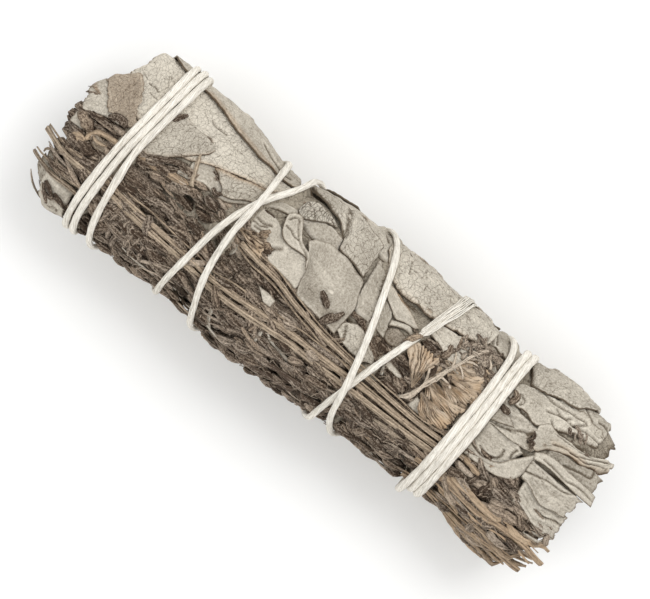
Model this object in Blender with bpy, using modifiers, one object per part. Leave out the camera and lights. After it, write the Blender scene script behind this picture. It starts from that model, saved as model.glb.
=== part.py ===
"""Sage and lavender bundle, lying down.

White sage leaves are laid along one side and dried lavender along the other, around a core of
folded leaves and two sage stalks. One cotton string goes round them ten times, and holds them.

X runs along the bundle, from the leaf tips to the cut stems. The sage is on the +Y side and the
lavender on the -Y side. Z is up, and the bundle rests on two leaves that bulge out flat below.

Everything is placed by three numbers: x in millimetres along the bundle, the angle in degrees
round it from the top (positive towards the sage), and the depth in millimetres below its skin.
Pieces whose numbers don't overlap can't touch, so the leaves are laid in layers 1 mm apart.
"""
import math

import bmesh
import bpy
import numpy as np

MM = 0.001
AXIS_Z = 15.8            # height of the bundle's middle, mm
ASIDE = 0.45             # the section below is measured from a line this far to the lavender side, mm
LAYER = 1.0              # from the face of a leaf to the face of the leaf below it, mm
LEAF_THICK = 0.7
CORE_DEPTH = 9.8         # the inner leaves, folded and wadded, reach this deep, mm
STEM_R = 0.6
STALK_R = 2.2
STRING_R = 0.675
STRING_GAP = 0.3         # between the string and the skin, and between crossing turns
LEAF_STEP = 3.1          # mesh spacing along a leaf, mm
LEAF_TURN = 9.5          # mesh spacing round the bundle, degrees

# The bundle's section along its length, mm: x, reach to the sage side, reach to the lavender
# side, height above the middle and depth below it. The middle is waisted where the string lies.
SECTION = [
    (-62.5, 12.5, -13.5, 8.0, 9.0), (-57.0, 17.9, -17.9, 11.2, 11.0), (-50.0, 19.3, -18.5, 12.6, 12.4),
    (-44.0, 19.1, -18.5, 13.6, 13.0), (-37.0, 19.0, -18.6, 14.4, 12.7), (-31.0, 18.3, -18.1, 15.0, 13.1),
    (-26.0, 16.9, -17.6, 15.2, 15.8), (-21.0, 16.0, -17.9, 15.3, 16.5), (-15.0, 17.2, -18.9, 15.5, 16.0),
    (-9.0, 18.3, -19.3, 15.6, 13.0), (-2.0, 18.5, -18.7, 15.6, 12.9), (4.0, 18.5, -18.5, 15.6, 15.9),
    (11.0, 18.3, -17.8, 15.5, 16.6), (18.0, 17.9, -17.2, 15.1, 15.9), (24.0, 17.5, -17.0, 14.6, 12.9),
    (29.0, 17.2, -16.9, 14.0, 12.8), (35.0, 16.8, -16.2, 13.6, 13.0), (41.0, 17.7, -16.7, 14.2, 14.0),
    (48.0, 18.3, -18.2, 14.8, 14.6), (54.0, 17.8, -18.3, 13.8, 13.8), (62.5, 14.6, -14.6, 11.6, 11.4),
]

# Sage leaves that can be seen or touched: layer, the edge that is higher round the sage side,
# the other edge, each from the tip end to the cut end as (x, angle).
LEAVES = {
    "sage_leaf_01": (0, [(-52.6, 92), (-50, 107), (-42, 115), (-30, 115), (-22, 107), (-16.5, 97)],
                     [(-52.4, 86), (-50, 75), (-44, 71), (-36, 62), (-30, 57), (-24, 58), (-17.5, 65)]),
    "sage_leaf_02": (1, [(-55.2, 86), (-50, 88), (-40, 84), (-30, 76), (-24, 68), (-18.6, 59)],
                     [(-56.8, 56), (-54, 48), (-50, 40), (-44, 33), (-38, 30), (-33, 28), (-28, 33), (-20.5, 50)]),
    "sage_leaf_03": (0, [(-58.8, 48), (-56.5, 53), (-53.5, 52), (-52, 42), (-50.2, 25)],
                     [(-58.2, 31), (-57.4, 24), (-55.5, 14), (-53, 13), (-50, 12)]),
    "sage_leaf_04": (1, [(-61.0, 40), (-59.6, 42), (-57.5, 34), (-54, 22)],
                     [(-60.2, 2), (-58.2, 1.5), (-56, 3), (-54, 6)]),
    "sage_leaf_05": (0, [(-45.8, 37.5), (-43, 39.5), (-39, 38), (-36, 38.5), (-34.6, 37)],
                     [(-46.2, 4), (-44, 3), (-41, 9), (-38, 19), (-35.6, 30), (-34.6, 34)]),
    "sage_leaf_06": (0, [(-32.6, 28), (-29, 31.5), (-26, 36), (-23, 44), (-20.5, 48)],
                     [(-32.6, 26), (-30.5, 22), (-29, 18), (-27, 18), (-24.5, 25), (-21, 34)]),
    "sage_leaf_07": (2, [(-36, 29), (-30, 36), (-22, 46), (-16, 51), (-10, 53), (-5, 50)],
                     [(-35.6, 14), (-33, 12), (-29, 12), (-23, 23), (-16, 33), (-10, 31), (-4.5, 35)]),
    "sage_leaf_08": (0, [(-15.9, 77.5), (-11, 75), (-7, 73), (-4, 73.5), (-1, 68.5), (1.4, 62.5)],
                     [(-15.7, 74.5), (-12, 66), (-9, 59.5), (-6.5, 51), (-5, 40), (-1, 36), (2.1, 33)]),
    "sage_leaf_09": (1, [(-16.5, 99), (-8, 105), (0, 103), (5, 97), (8, 88)],
                     [(-15.4, 76), (-9, 70), (-3, 65), (3, 60), (7, 60)]),
    "sage_leaf_10": (1, [(-15.6, 50), (-14.3, 63), (-12, 61.5), (-9, 58), (-8, 55.5)],
                     [(-15.4, 45), (-14.2, 43), (-12, 46), (-10, 49.5), (-8, 53)]),
    "sage_leaf_11": (0, [(-16, 37), (-14.6, 42), (-12.5, 36), (-10.5, 30), (-8.7, 25.5), (-7.4, 17)],
                     [(-16.3, 31), (-15.3, 23), (-13, 19.5), (-10.5, 19.5), (-8.8, 18), (-7.4, 13)]),
    "sage_leaf_12": (1, [(-9.8, 31), (-8.5, 36), (-5, 38.5), (0, 36.5), (3, 33), (4, 22), (4.7, 14)],
                     [(-8.4, 22), (-7.1, 12), (-6.8, 3), (-6.2, -5), (-3, -7.5), (1, -9.5), (4.6, -12)]),
    "sage_leaf_13": (2, [(-21, 21.5), (-18, 26), (-14, 27), (-10, 26.5), (-6, 25)],
                     [(-20.8, 17), (-17, 13), (-15, 8), (-13, 3), (-9, -0.5), (-5.5, -3)]),
    "sage_leaf_14": (0, [(3.4, 92), (8, 102), (16, 105), (24, 100), (29, 90)],
                     [(3.2, 63), (5.5, 50), (7.5, 44), (11, 41), (16, 41), (20, 43), (24, 48.5), (28.6, 58)]),
    "sage_leaf_15": (2, [(2.6, 50), (5, 47), (8, 43), (11, 36), (11.5, 26)],
                     [(3.2, 20), (4.2, 12), (8, 10), (10.5, 9), (12, 8)]),
    "sage_leaf_16": (1, [(6, 45), (9, 42), (12, 39), (16.3, 34.5)],
                     [(6, 31), (9, 28.5), (11.3, 22), (13, 25), (15.3, 28.5)]),
    "sage_leaf_17": (1, [(5.6, 1), (7, 4), (9.5, 2), (11.5, -1), (13.5, -5)],
                     [(5.8, -8), (7, -14), (10, -16), (12, -17), (13.8, -14.5)]),
    "sage_leaf_18": (2, [(17.5, 44), (24, 53), (32, 52), (38, 46), (44, 40), (48, 36)],
                     [(18, 34), (23, 31), (30, 26), (38, 7), (44, 4), (46.5, 9)]),
    "sage_leaf_19": (1, [(18, 106), (25, 112), (32, 108), (36, 100)],
                     [(19, 72), (25, 66), (31, 62), (36, 66)]),
    "sage_leaf_20": (0, [(38, 104), (45, 110), (52, 106), (55.5, 97)],
                     [(38, 70), (38.8, 62), (40.8, 53), (43, 53.5), (48, 57), (50.5, 64), (53.5, 76)]),
    "sage_leaf_21": (1, [(47, 84), (52, 88), (56, 85), (58.3, 79)],
                     [(46.5, 60), (50, 60), (54, 60), (57.4, 62)]),
    "sage_leaf_22": (1, [(38.2, 55), (42, 56.5), (47, 57), (52, 57), (57, 58)],
                     [(39.5, 30.5), (42, 31), (45, 31), (48, 34), (52, 43), (56, 48)]),
    "sage_leaf_23": (1, [(38.2, -9), (40.5, -13), (42.5, -13.5), (44.5, -7), (46, 2), (47, 10), (48.6, 18)],
                     [(38, -22), (41, -22), (44, -19.5), (46.5, -15), (48.6, -9), (49.2, 4), (50.6, 15)]),
    "sage_leaf_24": (1, [(46.2, 26), (49, 29.5), (52, 38), (56, 43.5), (61.4, 55)],
                     [(47.6, 22.5), (50.5, 21.5), (53, 27), (57, 34), (61.6, 47)]),
    "sage_leaf_25": (2, [(51, 24), (54, 30), (58, 38), (61.5, 43)],
                     [(50.4, 11.5), (54, 11.5), (58, 11.5), (62.4, 11)]),
    "sage_leaf_26": (2, [(50.2, 8.5), (54, 9), (58, 9), (60.8, 8.5)],
                     [(50.2, -6), (53, -9), (56, -12), (60.4, -12.5)]),
    "sage_leaf_27": (2, [(50.8, -12), (54, -15), (57, -16), (60.3, -16)],
                     [(50.8, -24), (54, -26), (57, -30), (61.3, -32)]),
    "sage_leaf_28": (1, [(-54, 176), (-44, 181), (-30, 182), (-12, 181), (2, 174)],
                     [(-53, 122), (-44, 119), (-30, 119), (-12, 111), (4, 122)]),
    "sage_leaf_29": (1, [(-50, 250), (-40, 255), (-24, 257), (-8, 255), (3, 244)],
                     [(-52, 206), (-40, 190), (-24, 188), (-8, 189), (3, 198)]),
    "sage_leaf_30": (1, [(6, 174), (16, 181), (32, 182), (46, 178), (57, 170)],
                     [(7, 120), (16, 116), (32, 117), (46, 115), (58, 124)]),
    "sage_leaf_31": (1, [(6, 244), (16, 254), (32, 256), (46, 256), (58, 244)],
                     [(5, 202), (16, 189), (32, 188), (46, 190), (57, 202)]),
    "sage_leaf_32": (0, [(-28.5, 188), (-25, 203), (-20, 207), (-15, 203), (-12.2, 190)],
                     [(-28.5, 172), (-25, 157), (-20, 153), (-15, 157), (-12.2, 170)]),
    "sage_leaf_33": (0, [(2.6, 190), (6, 203), (11, 207), (16, 203), (20.2, 190)],
                     [(2.6, 170), (6, 157), (11, 153), (16, 157), (20.2, 170)]),
}

# Wads of folded inner leaves: depth of the outer face, x range, angle range.
INNER_LEAVES = {
    "inner_leaf_01": (4.6, (-56, 54), (-102, 13)),
    "inner_leaf_02": (3.2, (-55, 56), (18, 109)),
    "inner_leaf_03": (2.2, (-53, 55), (114, 252)),
}

# Withered brown shoot: three leaves and their stalk.
SHOOT_LEAVES = {
    "shoot_leaf_01": (1, [(28.4, 41), (30, 45), (32.3, 42)], [(25.8, 11), (28, 10), (32.3, 10)]),
    "shoot_leaf_02": (1, [(25.4, 6), (28, 7), (32.3, 7)], [(24.3, -18), (28, -20.5), (32.2, -21)]),
    "shoot_leaf_03": (0, [(16.4, 21), (19, 18.5), (21, 18.5), (22.5, 18)],
                      [(16.3, 17), (18, 9), (20, 2), (21.6, -6)]),
}
SHOOT_STALK = [(21.2, -19), (22.2, -16), (22.9, -11), (23.5, -2), (24.2, 8), (25.2, 18), (26.3, 30),
               (27.2, 40), (28.4, 50)]

# Lavender stems, lying on the lavender side just under the string.
STEMS = {
    "lavender_stem_01": [(-62.2, -44), (-57, -42.5), (-50, -41), (-30, -41), (-15, -39.5), (0, -37),
                         (15, -38), (36, -39)],
    "lavender_stem_02": [(-50, -35), (-35, -35.5), (-20, -33.5), (-8, -31), (8, -30.5), (20, -31.5),
                         (36.5, -33)],
    "lavender_stem_03": [(-20, 1.5), (-15, -2), (-10, -5), (-5, -11), (1, -16), (10, -20.5),
                         (20, -24.5), (33, -26.5), (38.2, -27)],
    "lavender_stem_04": [(-61.5, -69), (-58.5, -63), (-55, -60), (-48, -58.5)],
    "lavender_stem_05": [(31, -51), (37, -53), (45, -51.5), (52, -47), (57, -49), (62.2, -57)],
    "lavender_stem_06": [(31, -75), (37, -76), (45, -73), (50, -68), (56, -66), (59.6, -69)],
}

# Lavender flower spikes: half width, depth of the outer and the inner face, and the line it
# follows. They are pressed flat, and lumpy from one whorl of flowers to the next.
SPIKES = {
    "lavender_spike_01": (3.4, 1.9, 4.2, [(-58.5, -16), (-50, -13.5), (-42, -13), (-33.5, -13.5)]),
    "lavender_spike_02": (2.8, 1.9, 4.2, [(-32, -13), (-22, -13), (-12, -16), (0, -18), (11, -19)]),
    "lavender_spike_03": (3.3, 1.9, 4.2, [(-58, -38), (-45, -37), (-30, -37)]),
    "lavender_spike_04": (3.2, 1.9, 4.2, [(-28.5, -37), (-14, -38), (2, -39)]),
    "lavender_spike_05": (3.3, 1.9, 4.2, [(4, -40), (18, -40), (34, -40)]),
    "lavender_spike_06": (3.5, 0.1, 2.5, [(-46.5, -61), (-36, -60), (-22, -61)]),
    "lavender_spike_07": (3.5, 0.1, 2.5, [(-20.5, -61), (-6, -61), (5, -63)]),
    "lavender_spike_08": (3.4, 0.1, 2.5, [(6.5, -64), (18, -64), (29.5, -63)]),
    "lavender_spike_09": (3.8, 0.1, 2.5, [(-55, -86), (-40, -87), (-20, -87)]),
    "lavender_spike_10": (3.6, 0.1, 2.5, [(-18, -88), (4, -89), (30, -88)]),
    "lavender_spike_11": (3.2, 0.1, 2.5, [(38.6, -38), (44, -36.5), (50, -36)]),
}

STALKS = {
    "sage_stalk_01": [(-30, -3.7, 0.2), (0, -3.4, -0.1), (30, -3.5, 0.2), (60, -3.7, -0.1)],
    "sage_stalk_02": [(-28, 2.7, -0.1), (0, 2.5, 0.2), (30, 2.4, -0.2), (58, 2.6, 0.1)],
}

# The string, one turn after another: (angle, x) over the top from the sage side to the lavender
# side, then on below to the next turn. Each turn's angles fall from 90 to -270.
TURNS = [
    [(165, 38.0), (90, 37.1), (60, 36.6), (0, 36.5), (-60, 36.1), (-90, 35.8), (-180, 35.9)],
    [(90, 35.5), (60, 35.1), (0, 35.0), (-60, 34.55), (-90, 34.1), (-180, 28.5)],
    [(90, 20.9), (60, 19.7), (30, 17.6), (0, 15.1), (-30, 12.9), (-60, 11.3), (-90, 10.4), (-180, -2.0)],
    [(90, -15.9), (60, -17.9), (30, -22.1), (0, -24.8), (-30, -26.0), (-60, -26.8), (-90, -27.0),
     (-180, -37.5), (-215, -44.5), (-240, -46.9)],
    [(90, -47.3), (60, -47.7), (30, -48.4), (0, -49.1), (-30, -49.4), (-60, -49.2), (-90, -48.1),
     (-180, -47.0)],
    [(90, -45.7), (60, -46.2), (30, -46.9), (0, -47.6), (-30, -47.75), (-60, -47.5), (-90, -46.3),
     (-180, -45.2)],
    [(90, -44.1), (60, -44.6), (30, -45.4), (0, -46.05), (-30, -45.4), (-60, -44.2), (-90, -41.9),
     (-180, -32.0)],
    [(90, -22.5), (60, -22.2), (30, -22.0), (0, -22.4), (-30, -21.5), (-60, -19.3), (-90, -17.5),
     (-180, -9.0)],
    [(90, 0.9), (60, 4.3), (30, 7.1), (0, 9.85), (-30, 12.2), (-60, 13.8), (-90, 16.0), (-180, 24.0)],
    [(90, 31.4), (75, 32.5), (60, 33.2), (40, 33.5), (0, 33.5), (-60, 33.0), (-90, 32.5), (-120, 32.9),
     (-160, 34.2)],
]
# Where a later turn rides over an earlier one: the string's angle there, counted on from the
# first turn, and over how many degrees each way it climbs. It lifts by RISE, mm.
RISES = [(-1668, 52), (-2015, 34), (-2320, 24), (-2489, 48), (-2725, 24), (-2915, 44), (-3086, 30),
         (-3358, 66)]
RISE = 1.7

COLOURS = {
    "sage_leaf": ((0.56, 0.52, 0.45, 1), 0.85), "sage_inner": ((0.46, 0.42, 0.35, 1), 0.9),
    "lavender_flower": ((0.13, 0.10, 0.08, 1), 0.95), "lavender_stem": ((0.36, 0.27, 0.18, 1), 0.8),
    "dried_brown_leaf": ((0.36, 0.25, 0.15, 1), 0.9), "cotton_string": ((0.87, 0.83, 0.75, 1), 0.9),
}


def through(knots, t):
    """Values at t of the smooth curve through knots, rows of (t, value, ...)."""
    knots = np.asarray(knots, float)
    t = np.clip(np.asarray(t, float), knots[0, 0], knots[-1, 0])
    slope = np.gradient(knots[:, 1:], knots[:, 0], axis=0)
    i = np.clip(np.searchsorted(knots[:, 0], t) - 1, 0, len(knots) - 2)
    step = (knots[i + 1, 0] - knots[i, 0])[..., None]
    s = (t - knots[i, 0])[..., None] / step
    a, b = knots[i, 1:], knots[i + 1, 1:]
    return ((1 + 2 * s) * (1 - s) ** 2 * a + s ** 2 * (3 - 2 * s) * b
            + step * s * (1 - s) * ((1 - s) * slope[i] - s * slope[i + 1]))


def place(x, angle, depth):
    """Points, in metres, at x along, angle round and depth below the skin."""
    x, angle, depth = np.broadcast_arrays(*(np.asarray(v, float) for v in (x, angle, depth)))
    sage, lavender, up, down = np.moveaxis(through(SECTION, x), -1, 0)
    turn = np.radians(angle)
    half, middle = (sage - lavender) / 2, (sage + lavender) / 2 - ASIDE
    tall = np.where(np.cos(turn) >= 0, up, down)
    reach = 1 / np.sqrt((np.sin(turn) / half) ** 2 + (np.cos(turn) / tall) ** 2) - depth
    z = np.maximum(AXIS_Z + reach * np.cos(turn), depth)
    return np.stack([x, middle + reach * np.sin(turn), z], -1) * MM


def along(points, number):
    """number points spread evenly along the smooth line through (x, angle) points."""
    points = np.asarray(points, float)
    span = np.hypot(np.diff(points[:, 0]), np.diff(points[:, 1]) * 0.3)
    knots = np.column_stack([np.concatenate([[0], np.cumsum(span)]) / span.sum(), points])
    return through(knots, np.linspace(0, 1, number))


def new_object(name, data, slot):
    piece = bpy.data.objects.new(name, data)
    data.materials.append(materials[slot])
    bundle.objects.link(piece)
    return piece


def mesh_from(name, vertices, faces, slot):
    """A closed or open skin as an object, with its faces turned the same way."""
    data = bpy.data.meshes.new(name)
    bm = bmesh.new()
    corners = [bm.verts.new(v) for v in vertices]
    for face in faces:
        bm.faces.new([corners[i] for i in face])
    bmesh.ops.recalc_face_normals(bm, faces=bm.faces)
    bm.to_mesh(data)
    bm.free()
    return new_object(name, data, slot)


def leaf(name, depth, high, low, slot):
    """A leaf between its two edges, given thickness inwards."""
    length = max(np.ptp([p[0] for p in high + low]), 0.29 * np.ptp([p[1] for p in low]))
    nu = max(4, math.ceil(length / LEAF_STEP)) + 1
    high, low = along(high, nu), along(low, nu)
    nv = max(2, math.ceil(np.abs(high[:, 1] - low[:, 1]).max() / LEAF_TURN)) + 1
    across = np.linspace(0, 1, nv)[None, :, None]
    flat = high[:, None] * (1 - across) + low[:, None] * across
    points = place(flat[..., 0], flat[..., 1], depth).reshape(-1, 3)
    faces = [(i * nv + j, (i + 1) * nv + j, (i + 1) * nv + j + 1, i * nv + j + 1)
             for i in range(nu - 1) for j in range(nv - 1)]
    piece = mesh_from(name, points, faces, slot)
    middle = piece.data.polygons[len(piece.data.polygons) // 2]
    outward = (middle.center.z - AXIS_Z * MM) * middle.normal.z + middle.center.y * middle.normal.y
    if outward < 0:
        piece.data.flip_normals()
    solid = piece.modifiers.new("thickness", "SOLIDIFY")
    solid.thickness = LEAF_THICK * MM
    solid.offset = -1
    return piece


def wad(name, outer, reach, arc):
    """A wad of folded leaves: a thick curved slab, ringed at each step along the bundle."""
    xs = np.linspace(*reach, math.ceil((reach[1] - reach[0]) / LEAF_STEP) + 1)
    arc = np.linspace(*arc, math.ceil((arc[1] - arc[0]) / LEAF_TURN) + 1)
    n = len(arc)
    ring_angle = np.concatenate([arc, arc[::-1]])
    ring_depth = np.concatenate([np.full(n, outer), np.full(n, CORE_DEPTH)])
    points = place(xs[:, None], ring_angle, ring_depth).reshape(-1, 3)
    sides, last = 2 * n, (len(xs) - 1) * 2 * n
    faces = [(i * sides + j, i * sides + (j + 1) % sides, (i + 1) * sides + (j + 1) % sides, (i + 1) * sides + j)
             for i in range(len(xs) - 1) for j in range(sides)]
    faces += [(end + j, end + j + 1, end + sides - 2 - j, end + sides - 1 - j)
              for end in (0, last) for j in range(n - 1)]
    return mesh_from(name, points, faces, "sage_inner")


def spike(name, half_width, outer, inner, line):
    """A flattened flower spike: rings along a line, fat at each whorl and pointed at the ends."""
    rings, sides = 17, 8
    path = along(line, rings)
    u = np.linspace(0, 1, rings)
    swell = np.clip(np.minimum(u, 1 - u) * 9, 0.22, 1) ** 0.5
    lump = 1 - 0.10 * (np.arange(rings) % 2)
    around = np.linspace(0, 2 * math.pi, sides, endpoint=False)
    middle, thick = (outer + inner) / 2, (inner - outer) / 2
    size = (swell * lump)[:, None]
    angle = path[:, 1, None] + np.degrees(half_width / 18.0) * size * np.cos(around)
    depth = middle + thick * size * np.sin(around)
    points = place(np.broadcast_to(path[:, 0, None], angle.shape), angle, depth).reshape(-1, 3)
    faces = [(i * sides + j, i * sides + (j + 1) % sides, (i + 1) * sides + (j + 1) % sides, (i + 1) * sides + j)
             for i in range(rings - 1) for j in range(sides)]
    faces += [tuple(range(sides)), tuple(range((rings - 1) * sides, rings * sides))]
    return mesh_from(name, points, faces, "lavender_flower")


def rod(name, points, radius, slot, sides=1):
    """A round bar through points, with closed ends."""
    line = bpy.data.curves.new(name, "CURVE")
    line.dimensions = "3D"
    line.bevel_depth = radius * MM
    line.bevel_resolution = sides
    line.use_fill_caps = True
    line.twist_mode = "MINIMUM"
    part = line.splines.new("POLY")
    part.points.add(len(points) - 1)
    for spot, point in zip(part.points, points):
        spot.co = (*point, 1)
    return new_object(name, line, slot)


# --- scene
for old in list(bpy.data.objects):
    bpy.data.objects.remove(old, do_unlink=True)
bundle = bpy.data.collections.new("sage and lavender bundle")
bpy.context.scene.collection.children.link(bundle)

materials = {}
for slot, (colour, rough) in COLOURS.items():
    finish = bpy.data.materials.new(slot)
    finish.use_nodes = True
    shader = finish.node_tree.nodes["Principled BSDF"]
    shader.inputs["Base Color"].default_value = colour
    shader.inputs["Roughness"].default_value = rough
    shader.inputs["Metallic"].default_value = 0
    finish.diffuse_color = colour
    materials[slot] = finish

# --- leaves, from the skin inwards
for name, (layer, high, low) in LEAVES.items():
    leaf(name, layer * LAYER, high, low, "sage_leaf")
for name, shape in INNER_LEAVES.items():
    wad(name, *shape)
for name, (layer, high, low) in SHOOT_LEAVES.items():
    leaf(name, layer * LAYER, high, low, "dried_brown_leaf")

# --- stalks and stems
for name, line in STALKS.items():
    rod(name, [(x * MM, y * MM, (AXIS_Z + z) * MM) for x, y, z in line], STALK_R, "sage_inner", 2)
for name, line in STEMS.items():
    path = along(line, max(6, round((line[-1][0] - line[0][0]) / 3.4)))
    rod(name, place(path[:, 0], path[:, 1], 0.15 + STEM_R), STEM_R, "lavender_stem")
path = along(SHOOT_STALK, 12)
rod("shoot_stalk", place(path[:, 0], path[:, 1], 0.2 + STEM_R), STEM_R, "dried_brown_leaf")

# --- flower spikes
for name, shape in SPIKES.items():
    spike(name, *shape)

# --- the string, round the outside of everything
route = np.array([(angle - 360 * turn, x) for turn, line in enumerate(TURNS) for angle, x in line], float)
turned = list(np.arange(route[0, 0], route[-1, 0], -15.0))
turned += [where + side * span * 0.28 for where, span in RISES for side in (-1, 0, 1)]
turned = np.array(sorted(turned, reverse=True))
turned = turned[np.concatenate([[True], np.diff(turned) < -3])]
x = through(np.column_stack([-route[:, 0], route[:, 1]]), -turned)[:, 0]
lift = np.zeros(len(turned))
for where, span in RISES:
    near = np.clip(1.4 - 1.4 * np.abs(turned - where) / span, 0, 1)
    lift = np.maximum(lift, RISE * near * near * (3 - 2 * near))
rod("cotton_string", place(x, turned, -(STRING_GAP + STRING_R) - lift), STRING_R, "cotton_string")
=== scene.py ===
# %% [markdown]
# # Sage and lavender bundle
# This is a stick of dried herbs about 125 mm long. White sage leaves are laid along one side of it
# and dried lavender along the other, and one long cotton string goes round both and holds them.
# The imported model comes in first. It fixes where every leaf, flower spike, stem and turn of string
# goes, and all that follows gives those pieces their real shape and finish.

# %% Load the fixed model
import math
import bpy
import numpy as np
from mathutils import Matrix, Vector


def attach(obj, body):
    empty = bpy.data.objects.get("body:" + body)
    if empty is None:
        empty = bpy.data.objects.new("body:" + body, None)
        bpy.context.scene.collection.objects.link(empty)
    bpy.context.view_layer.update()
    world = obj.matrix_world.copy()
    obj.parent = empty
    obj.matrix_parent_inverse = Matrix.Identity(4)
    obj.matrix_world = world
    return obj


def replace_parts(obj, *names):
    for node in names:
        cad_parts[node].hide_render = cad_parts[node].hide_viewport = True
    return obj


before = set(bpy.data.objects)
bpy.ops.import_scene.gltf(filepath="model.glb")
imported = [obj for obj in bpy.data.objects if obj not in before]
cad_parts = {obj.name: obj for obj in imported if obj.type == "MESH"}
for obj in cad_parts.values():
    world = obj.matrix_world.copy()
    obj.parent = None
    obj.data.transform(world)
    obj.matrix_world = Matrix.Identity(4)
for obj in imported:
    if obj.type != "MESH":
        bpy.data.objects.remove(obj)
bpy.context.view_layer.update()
MM = 0.001

# %% [markdown]
# ## Places on the bundle
# Herbs in a bundle follow its long rounded body, so x, y and z are poor numbers for placing them.
# Each point is given by how far along the bundle it is, the angle round it from the top (positive
# towards the sage), and how far it stands above the skin, negative when it lies below. The skin is
# an oval that changes along the length and is drawn in where the string is tight. A table of a few
# sections and a smooth curve through them is enough, and it is the same table as the model's.

# %% Coordinates round the bundle
AXIS_Z = 15.8            # height of the bundle's middle, mm
ASIDE = 0.45             # the section is measured from a line this far to the lavender side, mm
ARC = 0.305              # one degree round the skin, mm, near enough for sizes of small pieces
FLOOR_GAP = 0.02         # how close to the floor anything lies, mm
FLOOR_TOP = 0.45         # heights under this are pressed together on the floor, mm
FLOOR_PRESS = 0.35       # to this share of what they were
FAR = 99.0               # further than anything here, mm

# x, reach to the sage side, reach to the lavender side, height above the middle, depth below it
SECTION = [
    (-62.5, 12.5, -13.5, 8.0, 9.0), (-57.0, 17.9, -17.9, 11.2, 11.0), (-50.0, 19.3, -18.5, 12.6, 12.4),
    (-44.0, 19.1, -18.5, 13.6, 13.0), (-37.0, 19.0, -18.6, 14.4, 12.7), (-31.0, 18.3, -18.1, 15.0, 13.1),
    (-26.0, 16.9, -17.6, 15.2, 15.8), (-21.0, 16.0, -17.9, 15.3, 16.5), (-15.0, 17.2, -18.9, 15.5, 16.0),
    (-9.0, 18.3, -19.3, 15.6, 13.0), (-2.0, 18.5, -18.7, 15.6, 12.9), (4.0, 18.5, -18.5, 15.6, 15.9),
    (11.0, 18.3, -17.8, 15.5, 16.6), (18.0, 17.9, -17.2, 15.1, 15.9), (24.0, 17.5, -17.0, 14.6, 12.9),
    (29.0, 17.2, -16.9, 14.0, 12.8), (35.0, 16.8, -16.2, 13.6, 13.0), (41.0, 17.7, -16.7, 14.2, 14.0),
    (48.0, 18.3, -18.2, 14.8, 14.6), (54.0, 17.8, -18.3, 13.8, 13.8), (62.5, 14.6, -14.6, 11.6, 11.4),
]


def through(knots, t):
    """Values at t of the smooth curve through knots, rows of (t, value, ...)."""
    knots = np.asarray(knots, float)
    t = np.clip(np.asarray(t, float), knots[0, 0], knots[-1, 0])
    slope = np.gradient(knots[:, 1:], knots[:, 0], axis=0)
    i = np.clip(np.searchsorted(knots[:, 0], t) - 1, 0, len(knots) - 2)
    step = (knots[i + 1, 0] - knots[i, 0])[..., None]
    s = (t - knots[i, 0])[..., None] / step
    a, b = knots[i, 1:], knots[i + 1, 1:]
    return ((1 + 2 * s) * (1 - s) ** 2 * a + s ** 2 * (3 - 2 * s) * b
            + step * s * (1 - s) * ((1 - s) * slope[i] - s * slope[i + 1]))


def spot(x, angle, height):
    """Points, in metres, at x along, angle round and height above the skin, all mm and degrees."""
    x, angle, height = np.broadcast_arrays(*(np.asarray(v, float) for v in (x, angle, height)))
    sage, lavender, up, down = np.moveaxis(through(SECTION, x), -1, 0)
    turn = np.radians(angle)
    half, middle = (sage - lavender) / 2, (sage + lavender) / 2 - ASIDE
    tall = np.where(np.cos(turn) >= 0, up, down)
    reach = 1 / np.sqrt((np.sin(turn) / half) ** 2 + (np.cos(turn) / tall) ** 2) + height
    # on the floor the layers are pressed together, but they stay in their order
    pressed = np.maximum(-height, FLOOR_GAP + FLOOR_PRESS * np.maximum(FLOOR_TOP - height, 0))
    z = np.maximum(AXIS_Z + reach * np.cos(turn), pressed)
    return np.stack([x, middle + reach * np.sin(turn), z], -1) * MM


def points_of(line):
    """(x, angle) rows of a line, which is given as rows or as text: "x angle, x angle"."""
    if isinstance(line, str):
        line = [point.split() for point in line.split(",")]
    return np.asarray(line, float)


def stretches(line):
    """Length, mm, from each point of a line to the next."""
    points = points_of(line)
    return np.hypot(np.diff(points[:, 0]), np.diff(points[:, 1]) * ARC)


def on_line(line, share):
    """(x, angle) at those shares of the length of a smooth line through a line's points."""
    span = stretches(line)
    passed = np.concatenate([[0], np.cumsum(span)]) / span.sum()
    return through(np.column_stack([passed, points_of(line)]), share)


print("skin at mid length, mm:", (spot(0, [0, 90, 180, -90], 0) / MM).round(1).tolist())

# %% [markdown]
# ## Chance that repeats
# No two leaves crumple alike, yet the scene has to come out the same each time it is run. A fixed
# block of random numbers, read smoothly at any point, gives unevenness that never changes.

# %% Smooth noise
CELLS = 48               # the block of random numbers repeats after this many lumps
LATTICE = np.random.default_rng(11).random((CELLS, CELLS, CELLS))


def noise(x, y=0.0, z=0.0):
    """Smooth noise from 0 to 1. One step of 1 in x, y or z is one lump."""
    x, y, z = np.broadcast_arrays(*(np.asarray(v, float) for v in (x, y, z)))
    total = 0.0
    low = [np.floor(v).astype(int) for v in (x, y, z)]
    part = [v - k for v, k in zip((x, y, z), low)]
    part = [f * f * (3 - 2 * f) for f in part]
    for corner in range(8):
        bits = [(corner >> k) & 1 for k in range(3)]
        share = 1.0
        for f, bit in zip(part, bits):
            share = share * (f if bit else 1 - f)
        total = total + share * LATTICE[tuple((k + bit) % CELLS for k, bit in zip(low, bits))]
    return total


def rough(x, y=0.0, z=0.0, octaves=3):
    """Noise from -1 to 1 with finer and finer lumps."""
    total, size = 0.0, 0.0
    for k in range(octaves):
        total = total + (noise(x * 2 ** k, y * 2 ** k, z + 7.3 * k) * 2 - 1) / 2 ** k
        size += 1 / 2 ** k
    return total / size * 1.6


def bumps(x, angle, size, seed, octaves=3):
    """Roughness from -1 to 1 on the skin, with lumps of that size, mm."""
    return rough(x / size, angle * ARC / size, seed, octaves)


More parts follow.
